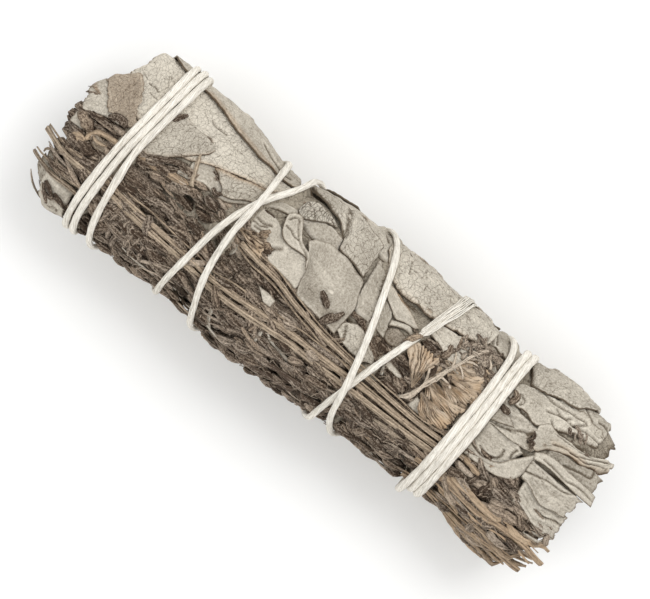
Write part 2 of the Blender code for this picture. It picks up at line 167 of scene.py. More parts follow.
def ramp(value, start, end):
    """0 before start and 1 after end, smooth between."""
    s = np.clip((value - start) / (end - start), 0, 1)
    return s * s * (3 - 2 * s)


def bell(distance, width):
    """1 where the distance is 0, and close to 0 from two widths on."""
    return np.exp(-(distance / width) ** 2)


print("noise samples:", noise(np.arange(4) * 0.7).round(2))

# %% [markdown]
# ## The pile
# Leaves in a bundle lie on each other. Each one is thin, so its margin drops onto whatever is
# underneath and its middle bridges the small gaps. To get that without a cloth simulation, the
# scene keeps a map of how high the bundle is built up so far. Pieces are made from the inside out,
# and each one reads the map, settles on it, and then adds itself to it.

# %% The height map
class Pile:
    """Height above the skin, mm, of what has been laid so far, on a grid of x and angle."""
    STEP, TURN = 0.4, 1.2                # mm along and degrees round, from one grid point to the next

    def __init__(self, start):
        self.xs = np.arange(-65, 65.01, self.STEP)
        self.count = round(360 / self.TURN)
        self.height = np.full((len(self.xs), self.count), float(start))

    def read(self, field, x, angle):
        """field at those places, read between grid points."""
        i = np.clip((x - self.xs[0]) / self.STEP, 0, len(self.xs) - 1.001)
        j = np.mod(angle, 360) / self.TURN
        i0, j0 = i.astype(int), j.astype(int) % self.count
        a, b, j1 = i - i0, j - np.floor(j), (j0 + 1) % self.count
        return ((field[i0, j0] * (1 - b) + field[i0, j1] * b) * (1 - a)
                + (field[i0 + 1, j0] * (1 - b) + field[i0 + 1, j1] * b) * a)

    def smooth(self, times):
        """The map, evened out."""
        field = self.height
        for _ in range(times):
            field = (field + np.roll(field, 1, 1) + np.roll(field, -1, 1)) / 3
            padded = np.pad(field, ((1, 1), (0, 0)), mode="edge")
            field = (padded[:-2] + padded[1:-1] + padded[2:]) / 3
        return field

    def under(self, x, angle, times):
        """How high the map is at those places when it is evened out that many times."""
        return self.read(self.smooth(times), x, angle)

    def add(self, x, angle, height):
        """Builds the map up to height at those places."""
        i = np.clip(np.rint((x - self.xs[0]) / self.STEP).astype(int), 0, len(self.xs) - 1)
        j = np.rint(np.mod(angle, 360) / self.TURN).astype(int) % self.count
        np.maximum.at(self.height, (i, j), height)


CORE_TOP = -3.6          # how high the inside of the bundle reaches before anything is laid, mm
pile = Pile(CORE_TOP)
print("map:", pile.height.shape)

# %% [markdown]
# ## The string's route
# One string is wound ten times round the bundle. It starts with two turns near the cut stems, runs
# in two long diagonals to the tips, makes three turns there, and comes back over itself to make one
# more turn where it began. Where a later turn crosses an earlier one it climbs over it. The route
# is settled before the leaves, because the leaves are pinched wherever it passes.

# %% String route
# The string, one turn after another: (angle, x) over the top from the sage side to the lavender
# side, then on below to the next turn. Each turn's angles fall from 90 to -270.
TURNS = [
    "165 38, 90 37.1, 60 36.6, 0 36.5, -60 36.1, -90 35.8, -180 35.9",
    "90 35.5, 60 35.1, 0 35, -60 34.55, -90 34.1, -180 28.5",
    "90 20.9, 60 19.7, 30 17.6, 0 15.1, -30 12.9, -60 11.3, -90 10.4, -180 -2",
    "90 -15.9, 60 -17.9, 30 -22.1, 0 -24.8, -30 -26, -60 -26.8, -90 -27, -180 -37.5, -215 -44.5, "
        "-240 -46.9",
    "90 -47.3, 60 -47.7, 30 -48.4, 0 -49.1, -30 -49.4, -60 -49.2, -90 -48.1, -180 -47",
    "90 -45.7, 60 -46.2, 30 -46.9, 0 -47.6, -30 -47.75, -60 -47.5, -90 -46.3, -180 -45.2",
    "90 -44.1, 60 -44.6, 30 -45.4, 0 -46.05, -30 -45.4, -60 -44.2, -90 -41.9, -180 -32",
    "90 -22.5, 60 -22.2, 30 -22, 0 -22.4, -30 -21.5, -60 -19.3, -90 -17.5, -180 -9",
    "90 0.9, 60 4.3, 30 7.1, 0 9.85, -30 12.2, -60 13.8, -90 16, -180 24",
    "90 31.4, 75 32.5, 60 33.2, 40 33.5, 0 33.5, -60 33, -90 32.5, -120 32.9, -160 34.2",
]
# Where a later turn rides over an earlier one: the string's angle there, counted on from the
# first turn, and over how many degrees each way it climbs.
RISES = [(-1668, 52), (-2015, 34), (-2320, 24), (-2489, 48), (-2725, 24), (-2915, 44), (-3086, 30),
         (-3358, 66)]
STRING_R = 0.675
STRING_UP = 0.50         # the string's middle above the skin: it is pressed in a little
STRING_RISE = 1.25       # how much higher it is where it crosses itself
ROUTE_STEP = 0.6         # degrees from one point of the route to the next

route = np.concatenate([points_of(line) - (360 * turn, 0) for turn, line in enumerate(TURNS)])


def string_at(turned):
    """x and height above the skin, mm, of the string's middle at those angles, counted on."""
    x = through(np.column_stack([-route[:, 0], route[:, 1]]), -turned)[:, 0]
    lift = np.zeros(len(turned))
    for where, span in RISES:
        near = np.clip(1.4 - 1.4 * np.abs(turned - where) / span, 0, 1)
        lift = np.maximum(lift, STRING_RISE * near * near * (3 - 2 * near))
    return x, STRING_UP + lift


turned = np.arange(route[0, 0], route[-1, 0], -ROUTE_STEP)
string_x, string_up = string_at(turned)
path = spot(string_x, turned, string_up)
string_length = np.linalg.norm(np.diff(path, axis=0), axis=1).sum()
pinch = np.full(pile.height.shape, FAR)       # distance to the nearest string, mm
for x, angle in zip(string_x, turned):
    column = round((angle % 360) / Pile.TURN) % pile.count
    pinch[:, column] = np.minimum(pinch[:, column], np.abs(pile.xs - x))
print("string length, m:", round(string_length, 3), "turns:", round(np.ptp(turned) / 360, 2))

# %% [markdown]
# ## Shader sums as plain expressions
# A finish is mostly arithmetic: a vein darkens the leaf by some share, a fibre lifts it by some
# height. Blender does arithmetic with one small node for each step. The class below wraps a node's
# output so that a + b, 1 - a or a * b makes the right node and links it, which reads far better.

# %% A wrapper for node sockets
def new_node(tree, kind, settings=None, out=0, **inputs):
    """Adds any node. settings are its own options, and inputs its sockets, by name or n and a number."""
    made = tree.nodes.new("ShaderNode" + kind)
    for option, value in (settings or {}).items():
        setattr(made, option, value)
    for label, value in inputs.items():
        place_on(made.inputs[int(label[1:]) if label[1:].isdigit() else label.replace("_", " ")], value)
    return Value(made.outputs[out])


class Value:
    """The output of a node, usable in expressions. A finish is written as sums of these."""

    def __init__(self, socket):
        self.socket = socket

    def node(self, kind, settings=None, out=0, **inputs):
        """Adds a node beside this one."""
        return new_node(self.socket.id_data, kind, settings, out, **inputs)

    def pick(self, operation, a, b):
        """Adds a sum of a and b: a Vector Math node when either is a vector, and a Math node if not."""
        kinds = [v.socket.type if isinstance(v, Value) else type(v) for v in (a, b)]
        vectors = "VECTOR" in kinds or tuple in kinds
        return self.node("VectorMath" if vectors else "Math", {"operation": operation}, n0=a, n1=b)

    def __add__(self, other):
        return self.pick("ADD", self, other)

    def __radd__(self, other):
        return self.pick("ADD", other, self)

    def __sub__(self, other):
        return self.pick("SUBTRACT", self, other)

    def __rsub__(self, other):
        return self.pick("SUBTRACT", other, self)

    def __mul__(self, other):
        return self.pick("MULTIPLY", self, other)

    def __rmul__(self, other):
        return self.pick("MULTIPLY", other, self)

    def clip(self, low=0.0, high=1.0):
        """This, kept between low and high."""
        return self.node("Clamp", Value=self, Min=low, Max=high)

    def step(self, start, end):
        """0 where this is under start and 1 where it is over end, smooth between."""
        return self.node("MapRange", {"interpolation_type": "SMOOTHSTEP"}, Value=self,
                         From_Min=start, From_Max=end)

    def mix(self, a, b):
        """Colour a where this is 0 and colour b where it is 1. Sockets 6 and 7 are a Mix node's colours."""
        return self.node("Mix", {"data_type": "RGBA"}, 2, n0=self, n6=a, n7=b)

    def cloud(self, scale, detail, roughness=0.5, out="Fac"):
        """Soft noise laid along this place."""
        return self.node("TexNoise", None, out, Vector=self, Scale=scale, Detail=detail, Roughness=roughness)

    def net(self, scale):
        """Distance to the nearest line of a net of cells laid along this place."""
        return self.node("TexVoronoi", {"feature": "DISTANCE_TO_EDGE"}, Vector=self, Scale=scale)


def place_on(socket, value):
    """Sets a socket to a number or colour, or links a Value to it."""
    if isinstance(value, Value):
        socket.id_data.links.new(value.socket, socket)
    elif isinstance(value, tuple) and socket.type == "RGBA":
        socket.default_value = (*value[:3], 1.0)
    else:
        socket.default_value = value


def tint(red, green, blue):
    """A colour given as 0 to 255 on screen, in the numbers that Blender mixes."""
    return tuple(c / 12.92 if c <= 0.04045 else ((c + 0.055) / 1.055) ** 2.4
                 for c in (red / 255, green / 255, blue / 255))


MIDDLE = (0.5, 0.5, 0.5)     # what soft noise is on average, as a vector


def start_finish(name):
    """A new material: the material and the marks that every piece's mesh carries."""
    made = bpy.data.materials.new(name)
    made.use_nodes = True
    marks = [new_node(made.node_tree, "Attribute", {"attribute_name": mark}, out)
             for mark, out in (("grain", "Vector"), ("tone", "Fac"), ("brown", "Fac"), ("veins", "Fac"))]
    return made, *marks


def finish_with(made, colour, roughness, height, depth_mm, shine):
    """Joins colour, roughness and a relief of depth_mm to the material's shader."""
    shader = made.node_tree.nodes["Principled BSDF"]
    shader.inputs["Metallic"].default_value = 0.0
    shader.inputs["Specular IOR Level"].default_value = shine
    place_on(shader.inputs["Base Color"], colour)
    place_on(shader.inputs["Roughness"], roughness)
    relief = height.node("Bump", Strength=1.0, Distance=depth_mm * MM, Height=height)
    place_on(shader.inputs["Normal"], relief)
    return made


print("white sage on screen (200, 193, 178) mixes as", [round(c, 3) for c in tint(200, 193, 178)])

# %% [markdown]
# ## Finish: dried white sage
# White sage dries to a pale grey-green that is close to stone. It is matt, because fine down covers
# it. A net of small veins divides the blade into cells about 1 mm across, each slightly domed, with
# a finer net inside. The veins are sunk and a little darker. Old margins and bruises turn brown.
# The cells are a Voronoi pattern laid on each leaf's own length and width, so they follow the leaf.

# %% Sage finish
# nets of veins from the coarsest to the finest: cells to the mm, line width, darkness, relief
VEIN_NETS = ((0.42, 0.04, 0.38, 0.4), (0.95, 0.06, 0.52, 0.5), (2.3, 0.12, 0.20, 0.25))
BROWN_DARK, BROWN_PALE = tint(92, 70, 50), tint(198, 172, 142)


def sage_finish(name, pale, dark):
    made, grain, tone, brown, veins = start_finish(name)
    bent = grain + (grain.cloud(0.8, 2.0, out="Color") - MIDDLE) * (0.7, 0.7, 0.0)
    patch = grain.cloud(0.16, 4.0, 0.6)
    mottle = grain.cloud(1.7, 4.0, 0.65)
    down = grain.cloud(2.7, 4.0, 0.8)
    light = tone + (patch - 0.5) * 0.6 + (mottle - 0.5) * 0.4 + (down - 0.5) * (1.65 - veins * 0.55)
    height = mottle * 0.4 + down * 0.75
    for scale, line, darkness, relief in VEIN_NETS:
        net = bent.net(scale)
        light = light - veins * (1.0 - net.step(0.0, line)) * (0.45 + (patch + mottle) * 0.55) * darkness
        height = height + veins * net.step(0.0, line * 2.2) * relief
    light = light.clip()
    rust = (brown + (mottle - 0.5) * brown * 1.2 + (down - 0.5) * brown * 1.2).clip()
    colour = rust.mix(light.mix(dark, pale), light.mix(BROWN_DARK, BROWN_PALE))
    return finish_with(made, colour, 0.78 + down * 0.2, height, 0.17, 0.22)


finishes = {
    "sage_leaf": sage_finish("sage_leaf", tint(216, 208, 193), tint(104, 94, 80)),
    # the second finish is the same sage with darker tints: painted shade for the leaves and stalks inside the
    # bundle
    "sage_inner": sage_finish("sage_inner", tint(200, 190, 172), tint(88, 78, 64)),
}
print("finishes:", sorted(finishes))

# %% [markdown]
# ## Finish: lavender flowers, stems and withered leaves
# Dried lavender is grey-brown. Each flower's cup is ribbed along its length and downy, and the
# stems are tan, grooved and silky. The withered brown shoot is papery. All three have a streaky
# grain that runs along the piece, so a noise stretched along the grain gives both the colour and
# the relief.

# %% Streaky finishes
# pale, dark and brown tints, then how much longer than wide the streaks are, the depth of the
# relief in mm, the roughness and how fuzzy it is
STREAKY = {
    "lavender_flower": ((206, 190, 171), (61, 47, 35), (178, 150, 120), 2.6, 0.32, 0.78, 1.15),
    "lavender_stem": ((210, 193, 169), (71, 56, 43), (190, 162, 130), 10.0, 0.24, 0.66, 0.7),
    "dried_brown_leaf": ((213, 199, 180), (72, 56, 43), (193, 167, 136), 5.0, 0.26, 0.72, 1.1),
}


def streaky_finish(name, pale, dark, rust, stretch, depth, dullness, fuzzy):
    """A grain that runs along the piece."""
    made, grain, tone, brown, _ = start_finish(name)
    drawn = grain * (1.0 / stretch, 1.0, 1.0)
    streak = drawn.cloud(3.2, 3.0, 0.6)
    thread = drawn.cloud(8.0, 2.0, 0.6)
    patch = grain.cloud(0.35, 3.0, 0.6)
    fuzz = grain.cloud(3.0, 4.0, 0.8)
    felt = (fuzz - 0.5) * 0.7 + (fuzz.step(0.42, 0.60) - 0.5) * 0.30
    light = (tone + (streak - 0.5) * 1.1 + (thread - 0.5) * 1.0 + (patch - 0.5) * 0.5 + felt * fuzzy).clip()
    colour = brown.clip().mix(light.mix(dark, pale), light.mix(dark, rust))
    height = streak * 0.6 + thread * 0.3 + fuzz * 0.4 * fuzzy
    return finish_with(made, colour, dullness + fuzz * 0.2, height, depth, 0.28)


for name, (pale, dark, rust, *rest) in STREAKY.items():
    finishes[name] = streaky_finish(name, tint(*pale), tint(*dark), tint(*rust), *rest)
print("finishes:", sorted(finishes))

# %% [markdown]
# ## Finish: cotton string
# The string is undyed cotton: loose yarns, hardly twisted, each of many fine fibres. The string's
# outline is real geometry. The finish adds the thin grooves between yarns, painted dark as shade, as
# a net of cells drawn out until its lines run along the string, and the fibres, as noise drawn out
# the same way.

# %% Cotton finish
def cotton_finish(name):
    made, grain, tone, *_ = start_finish(name)
    fibre = (grain * (0.12, 1.0, 1.0)).cloud(4.0, 4.0, 0.75)
    sway = (grain.cloud(0.7, 1.0, out="Color") - MIDDLE) * (0.35, 0.35, 0.35)
    yarn = ((grain + sway) * (0.03, 1.0, 1.0)).net(2.9)
    fluff = grain.cloud(4.5, 4.0, 0.75)
    patch = grain.cloud(0.25, 2.0)
    # the lines of the yarn net are painted darker, as shade in the grooves between yarns
    light = (tone + 0.14 + (fibre - 0.5) * 1.3 + (fluff - 0.5) * 0.5 + (patch - 0.5) * 0.3
             - (1.0 - yarn.step(0.0, 0.11)) * 0.27).clip()
    height = fibre * 0.8 + fluff * 0.5 + yarn.step(0.0, 0.16) * 0.5
    colour = light.mix(tint(160, 147, 126), tint(251, 246, 235))
    return finish_with(made, colour, 0.82 + fluff * 0.15, height, 0.16, 0.2)


finishes["cotton_string"] = cotton_finish("cotton_string")
print("finishes:", sorted(finishes))

# %% [markdown]
# ## From rows of points to a piece
# Every piece here is thousands of small faces: sheets for leaves, tubes for stems and string. They
# are worked out as arrays and gathered in a heap, which becomes one mesh. Each vertex also carries
# marks that the finishes read: its place along and across the grain, how light it is, how brown,
# and how strongly it is veined.

# %% Heaps
class Heap:
    """The vertices, faces and marks of one piece."""

    def __init__(self):
        self.points, self.faces, self.grain, self.marks, self.count = [], [], [], [], 0

    def add(self, points, faces, grain, tone=0.5, brown=0.0, veins=0.0):
        """Adds vertices and faces. faces is a list of arrays, one for each number of corners."""
        points = points.reshape(-1, 3)
        self.points.append(points)
        self.faces += [(part + self.count) for part in faces if len(part)]
        self.grain.append(grain.reshape(-1, 3))
        marks = [np.broadcast_to(np.ravel(v), len(points)) for v in (tone, brown, veins)]
        self.marks.append(np.stack(marks, 1))
        self.count += len(points)

    def piece(self, name, slot):
        """The heap as one smooth-shaded mesh that rides on the bundle, in that slot's finish."""
        data = bpy.data.meshes.new(name)
        corners = np.concatenate([f.ravel() for f in self.faces]).astype(np.int32)
        sizes = np.concatenate([np.full(len(f), f.shape[1]) for f in self.faces]).astype(np.int32)
        data.vertices.add(self.count)
        data.vertices.foreach_set("co", np.concatenate(self.points).ravel().astype(np.float32))
        data.loops.add(len(corners))
        data.loops.foreach_set("vertex_index", corners)
        data.polygons.add(len(sizes))
        data.polygons.foreach_set("loop_start", np.concatenate([[0], np.cumsum(sizes)[:-1]]).astype(np.int32))
        data.polygons.foreach_set("use_smooth", np.ones(len(sizes), bool))
        data.update(calc_edges=True)
        data.validate()
        marks = np.concatenate(self.marks).astype(np.float32)
        for column, mark in enumerate(("tone", "brown", "veins")):
            data.attributes.new(mark, "FLOAT", "POINT").data.foreach_set("value", marks[:, column])
        grain = np.concatenate(self.grain).ravel().astype(np.float32)
        data.attributes.new("grain", "FLOAT_VECTOR", "POINT").data.foreach_set("vector", grain)
        data.materials.append(finishes[slot])
        made = bpy.data.objects.new(name, data)
        bpy.context.scene.collection.objects.link(made)
        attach(made, "root")
        self.triangles = int((sizes - 2).sum())
        return made


def grid_faces(rows, columns, closed=False):
    """Four-cornered faces of a grid of vertices. A closed grid joins its last column to its first."""
    i, j = np.meshgrid(np.arange(rows - 1), np.arange(columns if closed else columns - 1), indexing="ij")
    k = (j + 1) % columns
    corners = [i * columns + j, (i + 1) * columns + j, (i + 1) * columns + k, i * columns + k]
    return np.stack(corners, -1).reshape(-1, 4)


print("a 3 by 4 grid has", len(grid_faces(3, 4)), "faces")

# %% [markdown]
# ## A slab
# Leaves have a thickness, if a small one. A slab is a grid of places with an upper face, a lower
# face a little deeper, and a rim that closes them wherever the grid ends or a hole was left in it.

# %% Slabs
# painted shade: the lower face of every slab, and with it the lower edge of its rim, is painted darker, like
# a contact shadow under the margin
UNDERSIDE_SHADE = 0.25    # how much darker the lower face is
UNDERSIDE_GRAIN = 0.4    # how far down the grain it is, mm


def slab(heap, x, angle, up, thick, grain, tone=0.5, brown=0.0, veins=0.0, holes=()):
    """Adds a sheet with a real thickness, from a grid of places and the height of its upper face."""
    upper, lower = spot(x, angle, up), spot(x, angle, up - thick)
    faces = grid_faces(*x.shape)
    for hole_x, hole_angle, long, high in holes:
        from_hole = np.hypot((x.ravel()[faces].mean(1) - hole_x) / long,
                             (angle.ravel()[faces].mean(1) - hole_angle) / high)
        faces = faces[from_hole > 1]
    i, j = x.shape[0] // 2, x.shape[1] // 2
    facing = np.cross(upper[i + 1, j] - upper[i, j], upper[i, j + 1] - upper[i, j])
    if np.dot(facing, spot(x[i, j], angle[i, j], up[i, j] + 1) - upper[i, j]) < 0:
        faces = faces[:, ::-1]
    total = x.size
    sides = np.stack([faces, np.roll(faces, -1, 1)], -1).reshape(-1, 2)
    border = sides[~np.isin(sides[:, 0] * total + sides[:, 1], sides[:, 1] * total + sides[:, 0])]
    corners = np.stack([border[:, 1], border[:, 0], border[:, 0] + total, border[:, 1] + total], 1).ravel()
    rim = np.arange(len(corners)).reshape(-1, 4) + 2 * total
    grain = grain.reshape(-1, 3)
    tone, brown, veins = (np.broadcast_to(v, x.shape).ravel() for v in (tone, brown, veins))
    points = np.concatenate([upper.reshape(-1, 3), lower.reshape(-1, 3)])
    grain = np.concatenate([grain, grain + (0, 0, UNDERSIDE_GRAIN)])
    # the lower face is painted darker, as shade
    tone = np.concatenate([tone, tone - UNDERSIDE_SHADE])
    brown, veins = np.tile(brown, 2), np.tile(veins, 2)
    # the rim has corners of its own, so that the leaf keeps a sharp edge
    points, *marks = (np.concatenate([v, v[corners]]) for v in (points, grain, tone, brown, veins))
    heap.add(points, [faces, faces[:, ::-1] + total, rim], *marks)


print("a slab has", 2 * len(grid_faces(10, 10)), "faces and a rim for a grid of 10 by 10")

# %% [markdown]
# ## A leaf sheet
# A pressed leaf is a thin sheet between two long edges. The sheet starts as a fine grid between
# them. Its margins are trimmed to be wavy, its tips are rounded or torn, and its height is settled
# on the pile: pushed down at the margins, never below what it lies on, pinched under the string,
# and crumpled, veined, pleated or creased as each leaf needs. Then it becomes a slab, so that the
# margins catch the light like thick paper.

# %% Sheets
LEAF_THICK = 0.30
LEAF_GAP = 0.02          # between a leaf and what it lies on, mm
EASE = 0.25              # over how many mm a leaf is eased off what it would sink into
LUMP = 3.2               # size of the larger crumples, mm
TOP_LAYER = 0.15         # how deep the top layer of leaves lies, mm
NEXT_LAYER = 0.40        # and how much deeper each layer below it
DENT = 0.22              # how deep the string dents a leaf, mm
UNDER_STRING = 0.75      # nearer to the string's line than this, mm, a leaf is under it


def distance_to(line, x, angle):
    """Distance in mm from points to the smooth line through (x, angle) points."""
    best = np.full(x.shape, FAR)
    for dot_x, dot_angle in on_line(line, np.linspace(0, 1, 40)):
        best = np.minimum(best, np.hypot(x - dot_x, (angle - dot_angle) * ARC))
    return best


def above_pile(up, x, angle, thick):
    """Heights like up, but eased off wherever they would sink into what lies below."""
    least = pile.under(x, angle, 1) + thick + LEAF_GAP
    return np.where(up > least + EASE, up, least + EASE * np.exp(np.minimum(up - least - EASE, 0) / EASE))


def trimmed_grid(high, low, seed, rag, ends, torn, step):
    """A grid between two edges, with wavy margins and rounded or torn ends, and where its points lie."""
    length = max(stretches(high).sum(), stretches(low).sum())
    u = np.linspace(0, 1, max(6, round(length / step)))[:, None]
    wide = np.hypot(*((on_line(high, u[:, 0]) - on_line(low, u[:, 0])) * (1, ARC)).T).max()
    t = np.linspace(0, 1, max(5, round(wide / step)))[None]
    gone = [torn[k] * (noise(t * wide / 1.6, seed + k * 5.1, 2.0) + 0.4 * noise(t * wide / 0.5, seed, 3.0))
            / length for k in (0, 1)]
    share = gone[0] + (1 - gone[0] - gone[1]) * u
    top, bottom = on_line(high, share), on_line(low, share)
    width = np.hypot(top[..., 0] - bottom[..., 0], (top[..., 1] - bottom[..., 1]) * ARC) + 0.01
    along_mm = share * length
    cut = [rag * (noise(along_mm / 2.3, seed + k * 3.7) + 0.9 * noise(along_mm / 0.7, seed + k * 9.2))
           for k in (0, 1)]
    first, last = np.minimum(cut[0] / width, 0.42), 1 - np.minimum(cut[1] / width, 0.42)
    taper = np.ones_like(share)
    for from_end, reach in ((share, ends[0]), (1 - share, ends[1])):
        if reach:
            taper = taper * np.sqrt(np.clip(1 - (1 - np.clip(from_end * length / reach, 0.02, 1)) ** 2, 0, 1))
    across = (first + last) / 2 + (last - first) * taper * (t - 0.5)
    x = top[..., 0] * (1 - across) + bottom[..., 0] * across
    angle = top[..., 1] * (1 - across) + bottom[..., 1] * across
    to_high, to_low = (t + 0 * u) * width * taper, (1 - t + 0 * u) * width * taper
    to_end = np.minimum(u, 1 - u) * length + 0 * t
    return x, angle, across, width, along_mm, to_high, to_low, to_end


def settled(x, angle, to_edge, rest, crumple, press, seed):
    """Heights of a leaf on the pile: crumpled, with margins that lie down here and lift a little there."""
    ridge = 1 - 2 * np.abs(bumps(x, angle, 1.6 * LUMP, seed + 5, 2))
    up = rest + crumple * (0.7 * bumps(x, angle, LUMP, seed) + 0.4 * ridge
                           + 0.22 * bumps(x, angle, 1.0, seed + 3))
    soft = pile.under(x, angle, 10) + LEAF_THICK + 0.04
    hug = np.clip(press * (0.1 + 1.3 * noise(x / 2.7, angle * ARC / 2.7, seed + 21)), 0, 1)
    up = up + (soft - up) * hug * (1 - ramp(to_edge, 0, 0.5))
    up = above_pile(up, x, angle, LEAF_THICK)
    for _ in range(2):
        padded = np.pad(up, 1, mode="edge")
        up = (padded[:-2, 1:-1] + padded[2:, 1:-1] + padded[1:-1, :-2] + padded[1:-1, 2:] + 2 * up) / 6
    return up + 0.20 * (noise(x / 2.0, angle * ARC / 2.0, seed + 31) - 0.25) * (1 - ramp(to_edge, 0, 0.6))


print("a leaf edge of", round(stretches("0 0, 10 30").sum(), 1), "mm")

# %% One leaf
def sheet(heap, high, low, layer, seed=0, tone=0.5, brown=0.0, veins=0.6, crumple=0.2, rag=0.25,
          ends=(0.5, 0.5), torn=(0.0, 0.0), curl=(0.0, 0.0), rim=(0.0, 0.0), press=0.5, outline=(0.5, 1.0),
          rib=None, pleat=None, creases=(), stains=(), holes=(), step=0.31, height=None):
    """Adds a leaf between its high and low edges, lying in that layer, and adds it to the pile."""
    grid = trimmed_grid(high, low, seed, rag, ends, torn, step)
    x, angle, across, width, along_mm, to_high, to_low, to_end = grid
    to_edge = np.minimum(np.minimum(to_high, to_low), to_end)
    rest = -(TOP_LAYER + NEXT_LAYER * layer) if height is None else height
    up = settled(x, angle, to_edge, rest, crumple, press, seed)

    # dry wrinkles: small faces that meet along sharp lines, which are painted darker as shade where they sink
    broad = np.minimum(np.abs(bumps(x, angle, 2.8, seed + 40, 2)), 0.35)
    small = np.minimum(np.abs(bumps(x, angle, 1.2, seed + 44, 2)), 0.35)
    up = up + crumple * (1.5 * broad + 0.6 * small)
    tone = tone - min(crumple, 0.3) * (0.8 * bell(broad, 0.04) + 0.5 * bell(small, 0.06))

    # a midrib with side veins: its place across, height, distance between side veins and their slant
    side = (across - (0.5 if rib is None else rib[0])) * width
    if rib is not None:
        branch = np.abs(((along_mm - np.abs(side) * rib[3]) / rib[2]) % 1 - 0.5) * 2
        vein = ramp(branch, 0.80, 1.0) * ramp(np.abs(side), 0.2, 1)
        up = up + bell(side, 0.26) * rib[1] * ramp(to_end, 0, 2) + rib[1] * 0.4 * vein
        tone = tone - 0.12 * vein - 0.10 * bell(np.abs(side) - 0.3, 0.12)
    # pleats: mm from one to the next, height and how much they wander. Their fold lines are painted darker as
    # shade where they sink and lighter as a painted highlight where they stand up
    if pleat is not None:
        period, deep, wander = pleat
        phase = across * width.max() / period + wander * rough(along_mm / 4.0, across * 2, seed)
        wave = 1 - np.abs(np.sin(np.pi * phase))
        up = up + deep * (wave ** 1.5 - 0.3)
        tone = tone - 0.22 * ramp(wave, 0.75, 1.0) * np.sign(-deep) + 0 * across
    # creases: line, height and half width. A sunk crease is painted darker along its bottom as shade, a
    # raised one a little lighter as a painted highlight, and both get a painted highlight on their shoulders
    for line, deep, broad in creases:
        gap = distance_to(line, x, angle)
        up = up + deep * bell(gap, broad)
        tone = tone - 0.60 * bell(gap, broad * 0.75) * (1 if deep < 0 else -0.2)
        tone = tone + 0.16 * bell(gap - broad * 1.9, broad * 0.8)
    up = up + curl[0] * (1 - ramp(to_high, 0, 1.3)) + curl[1] * (1 - ramp(to_low, 0, 1.3))
    near_string = pile.read(pinch, x, angle)
    up = up - DENT * bell(near_string, 0.8)
    up = np.where(near_string < UNDER_STRING, np.minimum(up, STRING_UP - 0.35), up)
    if layer < 2:
        under_it = STRING_UP - STRING_R - 0.08 - 0.9 * near_string ** 2
        up = np.maximum(up, np.where(near_string < 0.9, under_it, -FAR))

    # colour marks. A dark line of painted shade, a little browned, runs along the margins and ends,
    # stronger on the edge that outline weights more, and a lighter band just inside the margins is a
    # painted highlight.
    edge_shade_and_rust = np.maximum(0.55 * outline[0] * bell(to_high, 0.15), 0.55 * outline[1] * bell(to_low, 0.17))
    edge_shade_and_rust = np.maximum(edge_shade_and_rust, 0.4 * bell(to_end, 0.16))
    tone = tone + 0.10 * bumps(x, angle, 6, seed + 8) - edge_shade_and_rust
    tone = tone + 0.14 * bell(to_edge - 0.55, 0.22)
    rust = brown + rim[0] * bell(to_high, 0.8) + rim[1] * bell(to_low, 0.8)
    rust = rust + 0.3 * edge_shade_and_rust
    for line, broad, dark, rusty in stains:
        near = bell(distance_to(line, x, angle), broad)
        tone, rust = tone - dark * near, rust + rusty * near

    grain = np.stack([along_mm + 0 * x, side, np.full(x.shape, seed * 3.1)], -1)
    slab(heap, x, angle, up, LEAF_THICK, grain, tone, rust, veins, holes)
    pile.add(x, angle, up)


print("layers of leaves lie this deep, mm:", [round(TOP_LAYER + NEXT_LAYER * k, 2) for k in range(3)])

# %% [markdown]
# ## A tube
# Stems, stalks, flower cups, narrow leaves and the string are all tubes of some kind. A tube is a
# row of rings along a path. Each ring stands across the path, with one direction pointing away
# from the bundle, so that a flattened or cupped ring always lies the right way up on it.

# %% Tubes
def path_on(rows, number):
    """A smooth path through (x, angle, height) rows: its points and the directions away from the bundle."""
    rows = np.asarray(rows, float)
    if len(rows) > 1 and number > len(rows):
        span = np.linalg.norm(np.diff(rows, axis=0) * (1, ARC, 1), axis=1)
        knots = np.column_stack([np.concatenate([[0], np.cumsum(span)]) / span.sum(), rows])
        rows = through(knots, np.linspace(0, 1, number))
    x, angle, height = rows.T
    points = spot(x, angle, height)
    out = spot(x, angle, height + 0.5) - spot(x, angle, height - 0.5)
    return points, out / np.linalg.norm(out, axis=1, keepdims=True)


